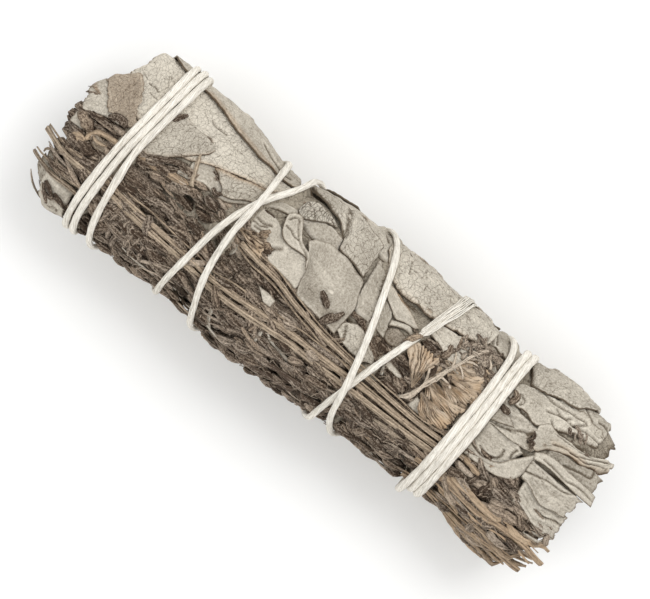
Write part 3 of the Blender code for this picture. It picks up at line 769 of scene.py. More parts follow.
def tube(heap, points, out, radius, sides=10, flat=1.0, cup=0.0, ribs=0, groove=0.0, twist=0.0,
         seed=0.0, tone=0.5, brown=0.0, groove_shade=0.0, lumps=0.0):
    """Adds a tube of rings with closed ends. radius is in mm, one for each ring or for all."""
    ahead = np.gradient(points, axis=0)
    run = np.concatenate([[0], np.cumsum(np.linalg.norm(np.diff(points, axis=0), axis=1))]) / MM
    ahead = ahead / np.linalg.norm(ahead, axis=1, keepdims=True)
    out = out - ahead * (out * ahead).sum(1, keepdims=True)
    out = out / np.linalg.norm(out, axis=1, keepdims=True)
    aside = np.cross(ahead, out)
    around = np.linspace(0, 2 * math.pi, sides, endpoint=False)[None]
    radius = np.broadcast_to(np.asarray(radius, float).reshape(-1, 1), (len(points), 1))
    turned = around - twist * run[:, None]
    lobe = np.abs(np.cos(turned * ribs / 2)) if ribs else np.ones_like(turned)
    size = radius * (1 - groove * (1 - lobe))
    if lumps:
        size = size * (1 + lumps * rough(run[:, None] / 1.2, np.arange(sides)[None] * 0.9, seed, 1))
    across = size * np.cos(around)
    up = size * np.sin(around) * flat - cup * across ** 2 / np.maximum(radius, 0.01)
    ring = points[:, None] + (across[..., None] * aside[:, None] + up[..., None] * out[:, None]) * MM
    n = len(points)
    faces = grid_faces(n, sides, closed=True)
    j = np.arange(sides)
    first, last = n * sides, n * sides + 1
    caps = np.concatenate([np.stack([np.full(sides, first), j, (j + 1) % sides], 1),
                           np.stack([np.full(sides, last), (n - 1) * sides + (j + 1) % sides,
                                     (n - 1) * sides + j], 1)])
    grain = np.stack([run[:, None] + 0 * across + seed * 7.7,
                      size * np.cos(turned), size * np.sin(turned)], -1)
    # the grooves between the lobes are painted darker, as shade
    tones = np.broadcast_to(np.asarray(tone, float).reshape(-1, 1), lobe.shape) - groove_shade * (1 - lobe)
    heap.add(np.concatenate([ring.reshape(-1, 3), points[[0, -1]]]), [faces, caps],
             np.concatenate([grain.reshape(-1, 3), grain[[0, -1]].mean(1)]),
             np.concatenate([tones.ravel(), tones[[0, -1], 0]]), brown, 0.0)


print("points on a path between two places:", len(path_on([(0, 0, 0), (10, 0, 0)], 12)[0]))

# %% [markdown]
# ## The folded inner leaves
# Under the outer leaves the bundle is packed with more leaves, folded and pushed together. They
# show at both ends and wherever the outer layer gapes. Each wad is one long sheet folded to and fro,
# so its section is a row of passes joined by tight bends. Only its ends are seen, so its rows are
# close together there and far apart in the middle.

# %% Inner leaves
# depth of the outer face, x range, angle range, and how high the leaves over it lie
INNER_LEAVES = {
    "inner_leaf_01": (4.6, (-59, 59), (-102, 13), -3.3),
    "inner_leaf_02": (3.2, (-55.5, 60), (10, 112), -1.75),
    "inner_leaf_03": (2.2, (-55.5, 59), (112, 256), -1.35),
}
FOLD_GAP = 1.30          # from one pass of a wad to the next, mm
WAD_MIDDLE = 13.2        # how deep the innermost pass may lie, mm


def folded_wad(heap, outer, reach, arc, seed):
    """Adds a sheet folded to and fro from the outer face towards the middle of the bundle."""
    rng = np.random.default_rng(seed)
    angles, heights = [], []
    deep, pass_number = outer, 0
    while deep < WAD_MIDDLE:
        span = 0.97 * (arc[1] - arc[0]) - 1.0 * pass_number + rng.uniform(-8, 12)
        middle = (arc[0] + arc[1]) / 2 + rng.uniform(-6, 6)
        steps = max(6, round(span * math.radians(1) * (16.5 - deep) / 1.0))
        swing = np.linspace(-0.5, 0.5, steps) * (1 if pass_number % 2 else -1)
        angles.append(middle + span * swing)
        heights.append(-deep - 0.5 * (2 * swing) ** 6 + 0.6 * rough(swing * 9, pass_number * 1.7, seed))
        deep += FOLD_GAP * rng.uniform(0.8, 1.2)
        pass_number += 1
    angles, heights = np.concatenate(angles)[None], np.concatenate(heights)[None]
    parts = (0, 0.08, 7), (0.2, 0.8, 3), (0.92, 1, 7)
    share = np.concatenate([np.linspace(*part) for part in parts])[:, None]
    columns = np.arange(angles.shape[1])[None]
    ragged = [5.0 * noise(columns / 9.0, seed + k, 1.0) + 1.2 * noise(columns / 1.7, seed + k, 4.0)
              for k in (0, 1)]
    x = reach[0] + ragged[0] + (reach[1] - reach[0] - ragged[0] - ragged[1]) * share
    angle = angles + 3.0 * rough(x / 7, columns / 9, seed)
    height = heights + 0.45 * rough(x / 5, columns / 7, seed + 2)
    # the very ends of the wad are painted darker, as shade along its edges like the leaves' margins
    tone = 0.52 + 0.2 * rough(x / 6, columns / 5, seed + 4) - 0.2 * np.exp(-np.minimum(share, 1 - share) * 90)
    grain = np.stack([x, columns * 0.9 + 0 * x, np.full(x.shape, seed * 1.0)], -1)
    slab(heap, x, angle, height, LEAF_THICK, grain, tone, 0.12, 0.35)
    inside = (x > reach[0] + 6) & (x < reach[1] - 6)
    pile.add(x[inside], angle[inside], height[inside])


def bed_leaves(heap, reach, arc, height, seed):
    """Adds a shingle of broad plain leaves over a wad, so that the outer leaves have something to lie on."""
    rng = np.random.default_rng(seed)
    for x in np.arange(reach[1] - 10, reach[0] + 4, -17.0):
        for middle in np.arange(arc[0] + 16, arc[1] - 2, 33.0):
            start, end = max(x - rng.uniform(14, 18), reach[0]), min(x + rng.uniform(9, 14), reach[1])
            high, low = middle + rng.uniform(18, 25), middle - rng.uniform(18, 25)
            lean = rng.uniform(-7, 7)
            sheet(heap, [(start, high - lean - 5), ((start + end) / 2, high + 2), (end, high + lean - 5)],
                  [(start, low - lean + 5), ((start + end) / 2, low - 2), (end, low + lean + 5)],
                  0, seed=seed + 3.3 * len(heap.points), tone=0.50 + rng.uniform(-0.08, 0.08),
                  veins=rng.uniform(0.2, 0.7), crumple=0.35, rag=0.5, torn=(1.2, 1.2), step=1.1,
                  height=height + rng.uniform(-0.12, 0.12), press=0.3)


budget = {}
for number, (name, (*shape, bed)) in enumerate(INNER_LEAVES.items()):
    heap = Heap()
    folded_wad(heap, *shape, seed=number + 1)
    bed_leaves(heap, *shape[1:], bed, number + 20)
    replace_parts(heap.piece(name + "_folds", "sage_inner"), name)
    budget[name] = heap.triangles
print("inner leaves, triangles:", budget)

# %% [markdown]
# ## The sage stalks
# Two woody stalks that the leaves grew on run through the middle. They show as cut ends between
# the leaves. Each is a slightly bent rod with shallow ridges, cut square: rings inside the last
# ring close its end and carry the tones of the bark, the pale wood and the dark pith.

# %% Sage stalks
STALKS = {
    "sage_stalk_01": [(-30, -3.7, 0.2), (0, -3.4, -0.1), (30, -3.5, 0.2), (60, -3.7, -0.1)],
    "sage_stalk_02": [(-28, 2.7, -0.1), (0, 2.5, 0.2), (30, 2.4, -0.2), (58, 2.6, 0.1)],
}
STALK_R = 2.2
RINGS = 70               # along a stalk, before those that close its end
# the cut end: how far each closing ring stands out, mm, its share of the radius and its lightness
CUT_RINGS = np.array([(0.08, 0.92, 0.72), (0.10, 0.60, 0.85), (0.12, 0.34, 0.30), (0.14, 0.16, 0.10)])
for number, (name, line) in enumerate(STALKS.items()):
    line = np.array(line, float)
    rows = through(np.column_stack([line[:, 0], line]), np.linspace(line[0, 0], line[-1, 0], RINGS))
    points = (rows + (0, 0, AXIS_Z)) * MM
    heap = Heap()
    points = np.concatenate([points, points[-1] + np.outer(CUT_RINGS[:, 0], [MM, 0, 0])])
    up = np.tile([0.0, 0.0, 1.0], (len(points), 1))
    radius = STALK_R * (0.90 + 0.10 * rough(np.arange(len(points)) / 6, number * 3.0))
    radius[RINGS:] *= CUT_RINGS[:, 1]
    tone = np.concatenate([np.full(RINGS, 0.42), CUT_RINGS[:, 2]])
    tube(heap, points, up, radius, 28, ribs=4, groove=0.06, twist=0.03, seed=number, tone=tone, brown=0.5,
         groove_shade=0.1, lumps=0.04)
    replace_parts(heap.piece(name + "_wood", "sage_inner"), name)
    budget[name] = heap.triangles
print("stalks:", list(STALKS))

# %% [markdown]
# ## The lavender
# The other side of the bundle is dried lavender: flower spikes pressed flat between thin stems.
# A spike is a crowd of ribbed cups, 4 to 6 mm long, all leaning towards its tip, with a few narrow
# leaves and threads of broken stem among them. Each spike of the model becomes a dark core of
# painted shade and a few layers of cups thrown onto it, deepest first and painted darker the deeper
# they lie, so that the gaps between them look deep.

# %% Flower spikes
# half width, depth of the outer and the inner face, and the line it follows, as in the model
SPIKES = {
    "lavender_spike_01": (3.4, 1.9, 4.2, "-58.5 -16, -50 -13.5, -42 -13, -33.5 -13.5"),
    "lavender_spike_02": (2.8, 1.9, 4.2, "-32 -13, -22 -13, -12 -16, 0 -18, 11 -19"),
    "lavender_spike_03": (3.3, 1.9, 4.2, "-58 -38, -45 -37, -30 -37"),
    "lavender_spike_04": (3.2, 1.9, 4.2, "-28.5 -37, -14 -38, 2 -39"),
    "lavender_spike_05": (3.3, 1.9, 4.2, "4 -40, 18 -40, 34 -40"),
    "lavender_spike_06": (3.5, 0.1, 2.5, "-46.5 -61, -36 -60, -22 -61"),
    "lavender_spike_07": (3.5, 0.1, 2.5, "-20.5 -61, -6 -61, 5 -63"),
    "lavender_spike_08": (3.4, 0.1, 2.5, "6.5 -64, 18 -64, 29.5 -63"),
    "lavender_spike_09": (3.8, 0.1, 2.5, "-55 -86, -40 -87, -20 -87"),
    "lavender_spike_10": (3.6, 0.1, 2.5, "-18 -88, 4 -89, 30 -88"),
    "lavender_spike_11": (3.2, 0.1, 2.5, "38.6 -38, 44 -36.5, 50 -36"),
}
# loose flowers that have slid out of a spike, under the sage's edges and between the stems
SPREADS = {
    "lavender_spike_01": [(2.8, 0.8, 2.8, "-57.5 -4, -50 0, -42 4, -35 9"), (2.6, 0.4, 2.0,
        "-56.5 -27, -46 -26, -34 -25")],
    "lavender_spike_02": [(3.0, 1.0, 2.9, "-36 12, -30 13, -25 12, -20 0, -12 -5, 0 -13, 9 -16"),
            (2.4, 0.4, 2.0, "-32 -25, -20 -26, -6 -30, 8 -33")],
    "lavender_spike_03": [(2.6, 0.3, 1.9, "-57 -49, -46 -48, -30 -48")],
    "lavender_spike_04": [(2.6, 0.3, 1.9, "-30 -48, -14 -49, 3 -50")],
    "lavender_spike_05": [(3.4, 1.1, 3.0, "3 -8, 10 2, 17 -5, 24 -14, 33 -17"), (2.6, 0.9, 2.4,
        "19 24, 25 33, 32 44"), (2.6, 0.3, 1.9, "4 -50, 18 -51, 34 -52")],
    "lavender_spike_11": [(2.8, 0.7, 2.4, "38 -24, 45 -21, 50 -20"), (2.7, 0.3, 2.0,
        "38 -56, 46 -57, 57 -55"), (2.6, 0.5, 2.2, "50 -32, 55 -36, 59.5 -39"), (3.2, 0.3, 2.2,
        "38 -82, 47 -80, 56 -77")],
}
TIP_END = -60.0          # no flower reaches past this, mm
CUT_END = 60.8           # and none starts past this, mm
print("flower spikes:", len(SPIKES), "and spreads of loose flowers:", sum(map(len, SPREADS.values())))

# %% Flower cups, narrow leaves and threads
CUP_SHAPE = np.array([0.35, 0.80, 1.0, 1.0, 0.88, 0.5])      # a cup's radius from its foot to its mouth


def run_from(x, angle, height, heading, bend, long, number, slack=0.0):
    """Rows for a path that starts there, runs heading degrees round from +x and bends as it goes."""
    s = np.linspace(0, 1, number)
    turn = np.radians(heading + bend * s)
    x = np.maximum(x + np.cumsum(np.cos(turn)) * long / number, TIP_END - slack * s)
    return s, np.column_stack([x, angle + np.cumsum(np.sin(turn)) * long / number / ARC, height + 0 * s])


def cup(heap, rng, x, angle, height, heading, long, thick, tone):
    """Adds one ribbed flower cup."""
    s, rows = run_from(x, angle, height, heading, rng.uniform(-16, 16), long, len(CUP_SHAPE), 0.6)
    rows[:, 2] += rng.uniform(-0.25, 0.35) * s + 0.2 * np.sin(math.pi * s)
    points, out = path_on(rows, len(rows))
    tube(heap, points, out, thick * CUP_SHAPE, 10, flat=rng.uniform(0.5, 0.85), ribs=5, groove=0.34,
         seed=rng.uniform(0, 90), tone=tone + (s - 0.4) * 0.16, brown=rng.uniform(0, 0.45),
         groove_shade=0.5, lumps=0.3)


def blade(heap, rng, x, angle, height, heading, long, wide, tone, brown):
    """Adds a narrow leaf or flake: a thin cupped strip."""
    s, rows = run_from(x, angle, height, heading, rng.uniform(-40, 40), long, 10)
    rows[:, 2] += 0.25 * np.sin(math.pi * s) + 0.12 * rough(s * 4, rng.uniform(0, 40))
    points, out = path_on(rows, len(rows))
    shape = np.clip(np.minimum(s * 6, (1 - s) * 4), 0.15, 1) ** 0.6
    tube(heap, points, out, wide / 2 * shape, 8, flat=0.25, cup=rng.uniform(-0.5, 0.7), ribs=4, groove=0.14,
         seed=rng.uniform(0, 90), tone=tone, brown=brown, groove_shade=0.2)


def thread(heap, rng, rows, radius, tone, brown=0.3, number=None, sides=6, flat=0.8):
    """Adds a thin stem or fibre through (x, angle, height) rows."""
    rows = np.asarray(rows, float)
    number = number or max(5, round(stretches(rows[:, :2]).sum() / 1.2))
    points, out = path_on(rows, number)
    wobble = 1 + 0.2 * rough(np.arange(number) / 3.0, rng.uniform(0, 40))
    tube(heap, points, out, radius * wobble, sides, flat=flat, ribs=4, groove=0.22,
         seed=rng.uniform(0, 90), tone=tone, brown=brown, groove_shade=0.3)


def heading_of(line, share):
    """Which way a line runs there, in degrees round from +x, towards its first end."""
    a, b = on_line(line, np.clip([share - 0.03, share + 0.03], 0, 1))
    return math.degrees(math.atan2((a[1] - b[1]) * ARC, a[0] - b[0]))


print("a cup is", len(CUP_SHAPE), "rings")

# %% Filling the spikes
CROWD = 0.34             # pieces thrown in for each square mm
FUZZ = 0.28              # short fibres for each square mm
CUPS, BLADES = 0.76, 0.95    # which share of the pieces are cups, and which cups or narrow leaves
STRAYS = 0.14            # which share of the pieces lie askew
FLOWER_SEED = 40


def fill_spike(heap, rng, half_width, outer, inner, line, crowd):
    """Fills the room of a spike with cups, narrow leaves, threads and fibres, the deepest first."""
    length = stretches(line).sum()
    bins = max(5, round(length / 1.6))
    s = np.linspace(0, 1, bins)
    rows = np.column_stack([on_line(line, s), np.full(bins, -inner - 0.3)])
    points, out = path_on(rows, bins)
    lump = 1 + 0.15 * rough(s * length / 3, rng.uniform(0, 40))
    # a dark core under the pieces: painted shade for the gaps between them
    tube(heap, points, out, half_width * 1.15 * lump * np.clip(np.minimum(s, 1 - s) * 8, 0.3, 1), 12,
         flat=0.34, seed=rng.uniform(0, 90), tone=0.22, brown=0.2)
    room = length * half_width * 2
    total = round(room * crowd)
    for number in range(total):
        low = (number / total) ** 0.7
        share = rng.uniform(-0.02, 1.02)
        where = on_line(line, share)
        off = rng.uniform(-1.15, 1.15) * half_width / ARC
        height = -inner + 0.4 + (inner - outer - 0.75) * low + rng.uniform(-0.2, 0.2)
        heading = heading_of(line, share) + rng.normal(0, 13)
        heading += rng.uniform(-75, 75) if rng.uniform() < STRAYS else 0
        # painted shade: the deeper a piece lies, the darker it is; past 36 mm along they are painted lighter,
        # as painted light against the shade there
        tone = np.clip(0.28 + 0.22 * low + 0.12 * ramp(where[0], 36, 40) + rng.normal(0, 0.14), 0.03, 0.9)
        kind = rng.uniform()
        if kind < CUPS:
            cup(heap, rng, min(where[0] + 2, CUT_END), where[1] + off, height, heading, rng.uniform(3.5, 6.5),
                rng.uniform(0.65, 1.0) + 0.15 * low, tone)
        elif kind < BLADES:
            blade(heap, rng, min(where[0] + 3, CUT_END), where[1] + off, height + 0.2, heading,
                  rng.uniform(4, 10), rng.uniform(0.7, 1.6), tone + 0.12, rng.uniform(0, 0.5))
        else:
            rows = run_from(min(where[0] + 4, CUT_END), where[1] + off, height + 0.4, heading,
                            rng.normal(0, 14), rng.uniform(4, 10), 5)[1]
            thread(heap, rng, rows, rng.uniform(0.12, 0.25), tone + 0.1)
    for _ in range(round(room * FUZZ)):
        share = rng.uniform(0, 1)
        where = on_line(line, share)
        heading = heading_of(line, share) + rng.normal(0, 40)
        rows = run_from(where[0] + 1, where[1] + rng.uniform(-1.2, 1.2) * half_width / ARC,
                        -outer - rng.uniform(-0.1, 0.5), heading, rng.normal(0, 110),
                        rng.uniform(0.9, 3.0), 6)[1]
        thread(heap, rng, rows, rng.uniform(0.05, 0.10), rng.uniform(0.45, 0.85), rng.uniform(0, 0.4), 6, 4)
    x, angle = on_line(line, np.linspace(0, 1, round(length / 0.35))).T[..., None]
    off = np.linspace(-1.1, 1.1, 24)[None] * half_width / ARC
    pile.add(x + 0 * off, angle + off, -outer - 0.5 + 0 * (angle + off))


for name, shape in SPIKES.items():
    heap = Heap()
    rng = np.random.default_rng(int(name[-2:]) + FLOWER_SEED)
    for spread in SPREADS.get(name, []):
        fill_spike(heap, rng, *spread, CROWD)
    fill_spike(heap, rng, *shape, CROWD)
    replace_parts(heap.piece(name + "_flowers", "lavender_flower"), name)
    budget[name] = heap.triangles
print("spikes, triangles:", {name: budget[name] for name in SPIKES})

# %% [markdown]
# ## Lavender stems
# The lavender's own stems lie over its flowers, just under the string. They are thin, nearly square
# and grooved along their corners, and here and there one has split into two or three strands.

# %% Stems
STEMS = {
    "lavender_stem_01": "-62.2 -44, -57 -42.5, -50 -41, -30 -41, -15 -39.5, 0 -37, 15 -38, 36 -39",
    "lavender_stem_02": "-50 -35, -35 -35.5, -20 -33.5, -8 -31, 8 -30.5, 20 -31.5, 36.5 -33",
    "lavender_stem_03": "-20 1.5, -15 -2, -10 -5, -5 -11, 1 -16, 10 -20.5, 20 -24.5, 33 -26.5, 38.2 -27",
    "lavender_stem_04": "-61.5 -69, -58.5 -63, -55 -60, -48 -58.5",
    "lavender_stem_05": "31 -51, 37 -53, 45 -51.5, 52 -47, 57 -49, 62.2 -57",
    "lavender_stem_06": "31 -75, 37 -76, 45 -73, 50 -68, 56 -66, 59.6 -69",
}
STEM_R = 0.6
STEM_SEED = 80
# half width, flatness, lightness and brownness of each: some are flattened and split
STEM_LOOKS = {
    "lavender_stem_01": (0.75, 0.6, 0.68, 0.2),
    "lavender_stem_02": (0.65, 0.7, 0.66, 0.3),
    "lavender_stem_03": (0.55, 0.8, 0.66, 0.25),
    "lavender_stem_04": (0.6, 0.7, 0.46, 0.1),
    "lavender_stem_05": (0.85, 0.6, 0.74, 0.75),
    "lavender_stem_06": (0.85, 0.6, 0.7, 0.75),
}


def splay(x, angle):
    """How far the ends stand off, mm: the stalks go straight on where the bundle narrows."""
    return 2.2 * ramp(x, 51, 61) * ramp(-angle, 35, 70)


def level(line, number, height):
    """(x, angle, height) rows for a line at one height."""
    return np.column_stack([on_line(line, np.linspace(0, 1, number)), np.full(number, height)])


def lift_onto_pile(rows, times, gap):
    """Raises rows that would lie lower than gap above the pile, evened out that many times."""
    rows[:, 2] = np.maximum(rows[:, 2], pile.under(rows[:, 0], rows[:, 1], times) + gap)


for name, line in STEMS.items():
    rng = np.random.default_rng(int(name[-2:]) + STEM_SEED)
    heap = Heap()
    half, flat, tone, brown = STEM_LOOKS[name]
    number = round(stretches(line).sum() / 0.7)
    rows = level(line, number, -0.15 - half * flat)
    lift_onto_pile(rows, 2, 0.3 * flat)
    rows[:, 2] += splay(rows[:, 0], rows[:, 1])
    points, out = path_on(rows, number)
    radius = half * (1 + 0.12 * rough(np.arange(number) / 5.0, rng.uniform(0, 40)))
    tube(heap, points, out, radius, 18, flat=flat, ribs=5, groove=0.30, twist=0.02, seed=rng.uniform(0, 90),
         tone=tone, brown=brown, groove_shade=0.5)
    for strand in range(2):
        shift = rng.choice([-1, 1]) * rng.uniform(3.5, 6.5)
        strand_rows = rows[::6] + (0, shift, 0.1) + rng.normal(0, 0.5, (len(rows[::6]), 3)) * (0, 1, 0.1)
        thread(heap, rng, strand_rows, rng.uniform(0.14, 0.28), tone + rng.uniform(-0.2, 0.15), brown + 0.1,
               number // 2)
    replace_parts(heap.piece(name + "_stalk", "lavender_stem"), name)
    budget[name] = heap.triangles
print("stems:", len(STEMS))

# %% [markdown]
# ## The sage leaves
# The bundle's sage side is some thirty leaves, lying over each other like shingles. Each is given
# by its layer, its two edges from the tip end to the cut end, and what is particular about it: how
# strongly its veins stand out, a brown rolled margin, a fold, a pleat, a torn end or an insect hole.
# The deepest layer is laid first. Every leaf then settles on those before it.

# %% Sage leaves near the tips
LEAVES, FLAKES = {}, []


def leaf(name, layer, high, low, base={}, **traits):
    """Notes a whole leaf: node, layer, traits, and its higher and lower edge as "x angle, x angle" text.

    Each edge runs from the tip end to the cut end. base holds traits that several leaves share.
    """
    LEAVES[name] = layer, high, low, {**base, **traits}


def flake(layer, high, low, base={}, **traits):
    """Notes a small piece of broken leaf that shows between the whole ones, given in the same way."""
    FLAKES.append((layer, high, low, {**base, **traits}))


leaf("sage_leaf_01", 0, "-52.4 92, -50 107, -42 115, -30 115, -22.5 108, -20.3 92, -18.4 79",
    "-52.2 88, -51.6 81.5, -50 76, -47.5 73, -43 70, -38 64.5, -34.5 59.5, -31 57.5, -27 57, -24 60, "
    "-21.5 60.5, -19.5 60.5, -17.8 64",
    veins=0.35, tone=0.62, rag=0.2, rim=(0.1, 0.2), curl=(0.0, 0.25), ends=(0.5, 0),
    rib=(0.45, 0.12, 3.1, 0.8), creases=[("-28 74, -24 70, -20.5 69", -0.3, 0.5),
        ("-50 97, -42 100, -32 99, -22 92", -0.25, 0.4)],
    stains=[("-42 72.5, -38 67.5, -34 62.5, -30 60.5, -24.5 62", 0.75, 0.0, 0.5)])
leaf("sage_leaf_02", 1, "-55.1 88, -50 86, -42 80, -34 70, -26 66, -18.6 64",
    "-56.9 50.5, -54 40, -51 24, -46 16, -41 16, -36.5 22, -33.5 26, -32.7 27.2, -30 31, -26 38.5, "
    "-22.5 45, -19.5 52",
    veins=0.85, tone=0.98, rag=0.3, crumple=0.2, torn=(1.1, 0), ends=(0, 0.5), rim=(0, 0.4),
    creases=[("-38.6 57, -38 55, -36.5 54.5, -35 55", -0.4, 0.3),
        ("-52.3 51.5, -51 51.5, -50 49.5", -0.3, 0.25), ("-51 45, -49.5 44", -0.3, 0.25)],
    stains=[("-38.1 42, -37.8 42", 0.42, 0.8, 0.3), ("-36.9 42.8, -36.3 41.5", 0.45, 0.8, 0.3),
        ("-42.2 45, -39 37", 0.6, 0.22, 0.1)])
leaf("sage_leaf_03", 0, "-59.5 50, -57.8 51.5, -55.5 54.5, -53.2 51, -51.8 43, -50.1 27, -49 18",
    "-59.4 40, -58.5 30, -57.2 21, -55.6 12.5, -53.8 9, -51.5 8.5, -49.5 9",
    veins=0.5, tone=0.52, brown=0.42, crumple=0.25, rag=0.8, ends=(0, 0), torn=(1.2, 0.3),
    pleat=(1.4, 0.06, 0.8), outline=(0.3, 0.45))
leaf("sage_leaf_04", 1, "-61.2 40, -59 44, -57 36, -54.5 24, -52 18",
    "-60.3 1.5, -58.5 0.5, -56.5 3, -54 6, -51 8",
    veins=0.5, tone=0.7, rag=0.6, torn=(0.9, 0), ends=(0, 0), crumple=0.3, pleat=(1.9, 0.1, 1.0),
    stains=[("-60.6 36, -59.6 29, -58.6 25", 0.35, 0.2, 0.6)])
leaf("sage_leaf_05", 0, "-46 39, -43 42, -40 42.5, -37 41, -34.7 37.5",
    "-46.2 2, -44 3.5, -42 8, -39.5 16.5, -37.5 23, -36 28, -35 32, -34.6 36",
    veins=0.75, tone=0.62, rag=0.1, rib=(0.4, -0.14, 2.6, 0.9), rim=(0.0, 0.3), ends=(0, 0.6), press=1.0,
    outline=(0.12, 1.0), crumple=0.12)
leaf("sage_leaf_06", 0, "-32.7 27.6, -30.8 30.4, -28 34, -25 40, -22.3 45, -20.5 49",
    "-32.5 26.8, -31.3 25.2, -30.3 21.5, -29.2 19.5, -28.6 16, -27 17.5, -24.5 25, -21 34",
    veins=0.75, tone=0.62, rag=0.1, rim=(0.7, 0.05), ends=(0.3, 0), press=0.8)
leaf("sage_leaf_07", 2, "-37 34, -32 34, -26 42, -20 47.5, -15 50, -9 53, -5 50",
    "-36.5 16, -34.2 11.5, -32 13.5, -30 12, -27.5 14, -23 27, -19 38.5, -15 40.5, -9 35, -4.5 36",
    veins=0.05, tone=0.52, crumple=0.22, rag=0.1)
print("leaves noted:", len(LEAVES))

# %% Sage leaves in the middle
leaf("sage_leaf_08", 0, "-16.4 78, -12 76.5, -8 75.5, -4.5 74, -2 69, 0 66.3, 1.6 62.7",
    "-15.9 75.5, -13 69, -11 65, -9.2 59.8, -7 54, -5.6 49.5, -5.2 44, -4.9 39.2, -2 37.3, 0 35.4, "
    "2.4 31.5",
    veins=0.85, tone=0.68, rag=0.15, ends=(0, 0), torn=(0, 0.6), curl=(0, 0.15), crumple=0.14,
    creases=[("-8.2 80, -7.5 70, -6.4 60, -5.6 50", -0.45, 0.6)])
leaf("sage_leaf_09", 1, "-17.7 93, -15 101, -8 105, 0 103, 5 97, 8 88",
    "-16.6 76, -12 70, -8 66, -3 60, 3 56, 7 56",
    veins=0.3, tone=0.64, crumple=0.25, rag=0.15, ends=(0, 0.5), holes=[(-4.85, 78, 0.42, 3.0)],
    stains=[("-4.9 79, -4.75 76.5", 0.75, 0.35, 0.6)], creases=[("-10 90, -4 85, 2 84", -0.3, 0.35),
        ("0.2 86, 1 78, 1.7 73", -0.4, 0.3)])
leaf("sage_leaf_10", 1, "-15.6 50, -14.4 63.5, -13.3 64.2, -11 60.5, -8.8 57.8, -7.6 55",
    "-15.4 46, -14.2 42.8, -13 43.5, -11 47.3, -9.5 51, -8 53",
    veins=1.9, tone=0.86, rag=0.08, ends=(0.5, 0), rib=(0.35, -0.14, 1.4, 0.3), crumple=0.1)
leaf("sage_leaf_11", 0, "-16.5 38, -15.4 42, -14.2 42, -13.2 38.5, -12.2 33, -11 27.5, -9.8 24.8, -8.7 23, "
    "-7.9 18.5, -7.2 12",
    "-16.3 35, -15.8 29, -15.2 24, -14 20.7, -12.5 19.6, -10.5 20, -8.8 19.3, -8 15, -7.4 11",
    veins=0.05, tone=0.6, rag=0.05, curl=(0.5, 0.1), press=0.3, crumple=0.1, outline=(1.0, 1.3),
    creases=[("-15.6 36, -15 39.6, -14.3 39.9, -13.7 37, -12.8 32, -11.7 27, -10.3 23.6, -9.2 21.8, "
    "-8.4 18.5", -0.55, 0.24), ("-15.4 30.5, -14 29.5, -13 27.5, -12 27", -0.25, 0.25)])
leaf("sage_leaf_12", 1,
    "-10.4 31, -9 36.2, -7.5 38.3, -5 38.8, -2 37.5, 0 35, 2.5 31.5, 3.2 24, 3.9 18, 4.5 12",
    "-8.9 24, -8 19, -7.1 11, -6.9 5, -6.4 -1, -5.9 -5.5, -4 -7.5, -1 -9, 1.5 -10, 4.4 -12",
    veins=0.03, tone=0.42, crumple=0.12, rag=0.12, ends=(0, 0), press=0.0,
    creases=[("-8.9 23, -6 19.5, -3.5 16.5, -1.5 13", 0.12, 0.3)],
    stains=[("-1 11, -0.8 10.8", 0.25, -0.9, 0), ("0 -2, 3 -6", 1.2, 0.12, 0.1)])
leaf("sage_leaf_13", 2, "-21.4 33, -18 33.5, -15 28, -12 22.5, -8 20.5, -6.2 12",
    "-21 14, -18 12, -15.5 6, -13.5 2, -10.5 0, -8.5 -1, -6.4 -3.5",
    veins=0.05, tone=0.66, crumple=0.2, rag=0.08, height=-0.62,
    creases=[("-20.5 24, -19 23, -17.5 25", -0.4, 0.35), ("-21 20, -19.5 20, -18 22", -0.4, 0.3),
        ("-20 17.5, -18.5 18", -0.4, 0.3), ("-14.8 6, -14.6 11, -13.4 15", -0.3, 0.5)])
leaf("sage_leaf_14", 0, "2 90, 8 102, 16 105, 24 100, 28.8 88",
    "2.4 61, 4.5 51, 6.3 44.5, 7.8 42, 10 41, 13 40.5, 16.5 41, 19.7 43.2, 22.5 46.3, 25 49.8, 27.3 55, "
    "28.6 60",
    veins=0.85, tone=0.78, rag=0.55, ends=(0, 0.6), rim=(0, 0.2), rib=(0.42, 0.08, 3.6, 0.9), crumple=0.15,
    press=0.4, creases=[("12 71.5, 20 70.5, 27.5 71", 0.35, 0.45), ("7.3 72, 8.3 58", -0.3, 0.22),
        ("10.4 74, 11.5 65", -0.25, 0.22), ("5 84, 6.5 76", -0.25, 0.22),
        ("4 93, 12 96, 20 95, 27 89", -0.25, 0.4)], stains=[("15.3 44.8, 16 44.6", 0.3, 0.4, 0.5),
        ("9 98, 17 102, 24 97", 1.2, 0.15, 0.4)])
leaf("sage_leaf_15", 2, "2.2 53.5, 4.5 50.5, 6.5 46, 8 38, 9.5 30, 10.9 24",
    "3.4 20, 4.3 13, 4.6 10.8, 7 10, 9.5 9.2, 12.1 7.3",
    veins=0.08, tone=0.56, pleat=(1.5, 0.2, 0.5), rag=0.1, height=-0.85, ends=(0, 0), crumple=0.3)
leaf("sage_leaf_16", 1, "6.5 44, 9 41, 12 37.8, 14.5 34, 16.3 31",
    "7.5 33, 9 29, 10.2 26.5, 11.4 24, 13.5 26.5, 15.6 28",
    veins=0.05, tone=0.64, rag=0.1, pleat=(1.8, 0.1, 0.4), rim=(0.2, 0), ends=(0, 0))
leaf("sage_leaf_17", 1, "4.2 0, 5.5 3, 7.2 5, 9.5 2.5, 11 -2, 13.2 -7",
    "4.4 -9.5, 6 -12.5, 8 -15.5, 10 -17, 12 -17.5, 13.8 -14",
    veins=0.6, tone=0.62, rag=0.4, crumple=0.2, press=0.9, ends=(0, 0.4), outline=(1.0, 1.2),
    creases=[("5.2 -1, 5.9 -6, 6.4 -11", -0.45, 0.3), ("7 2, 9 -6, 11 -12", 0.25, 0.5)])
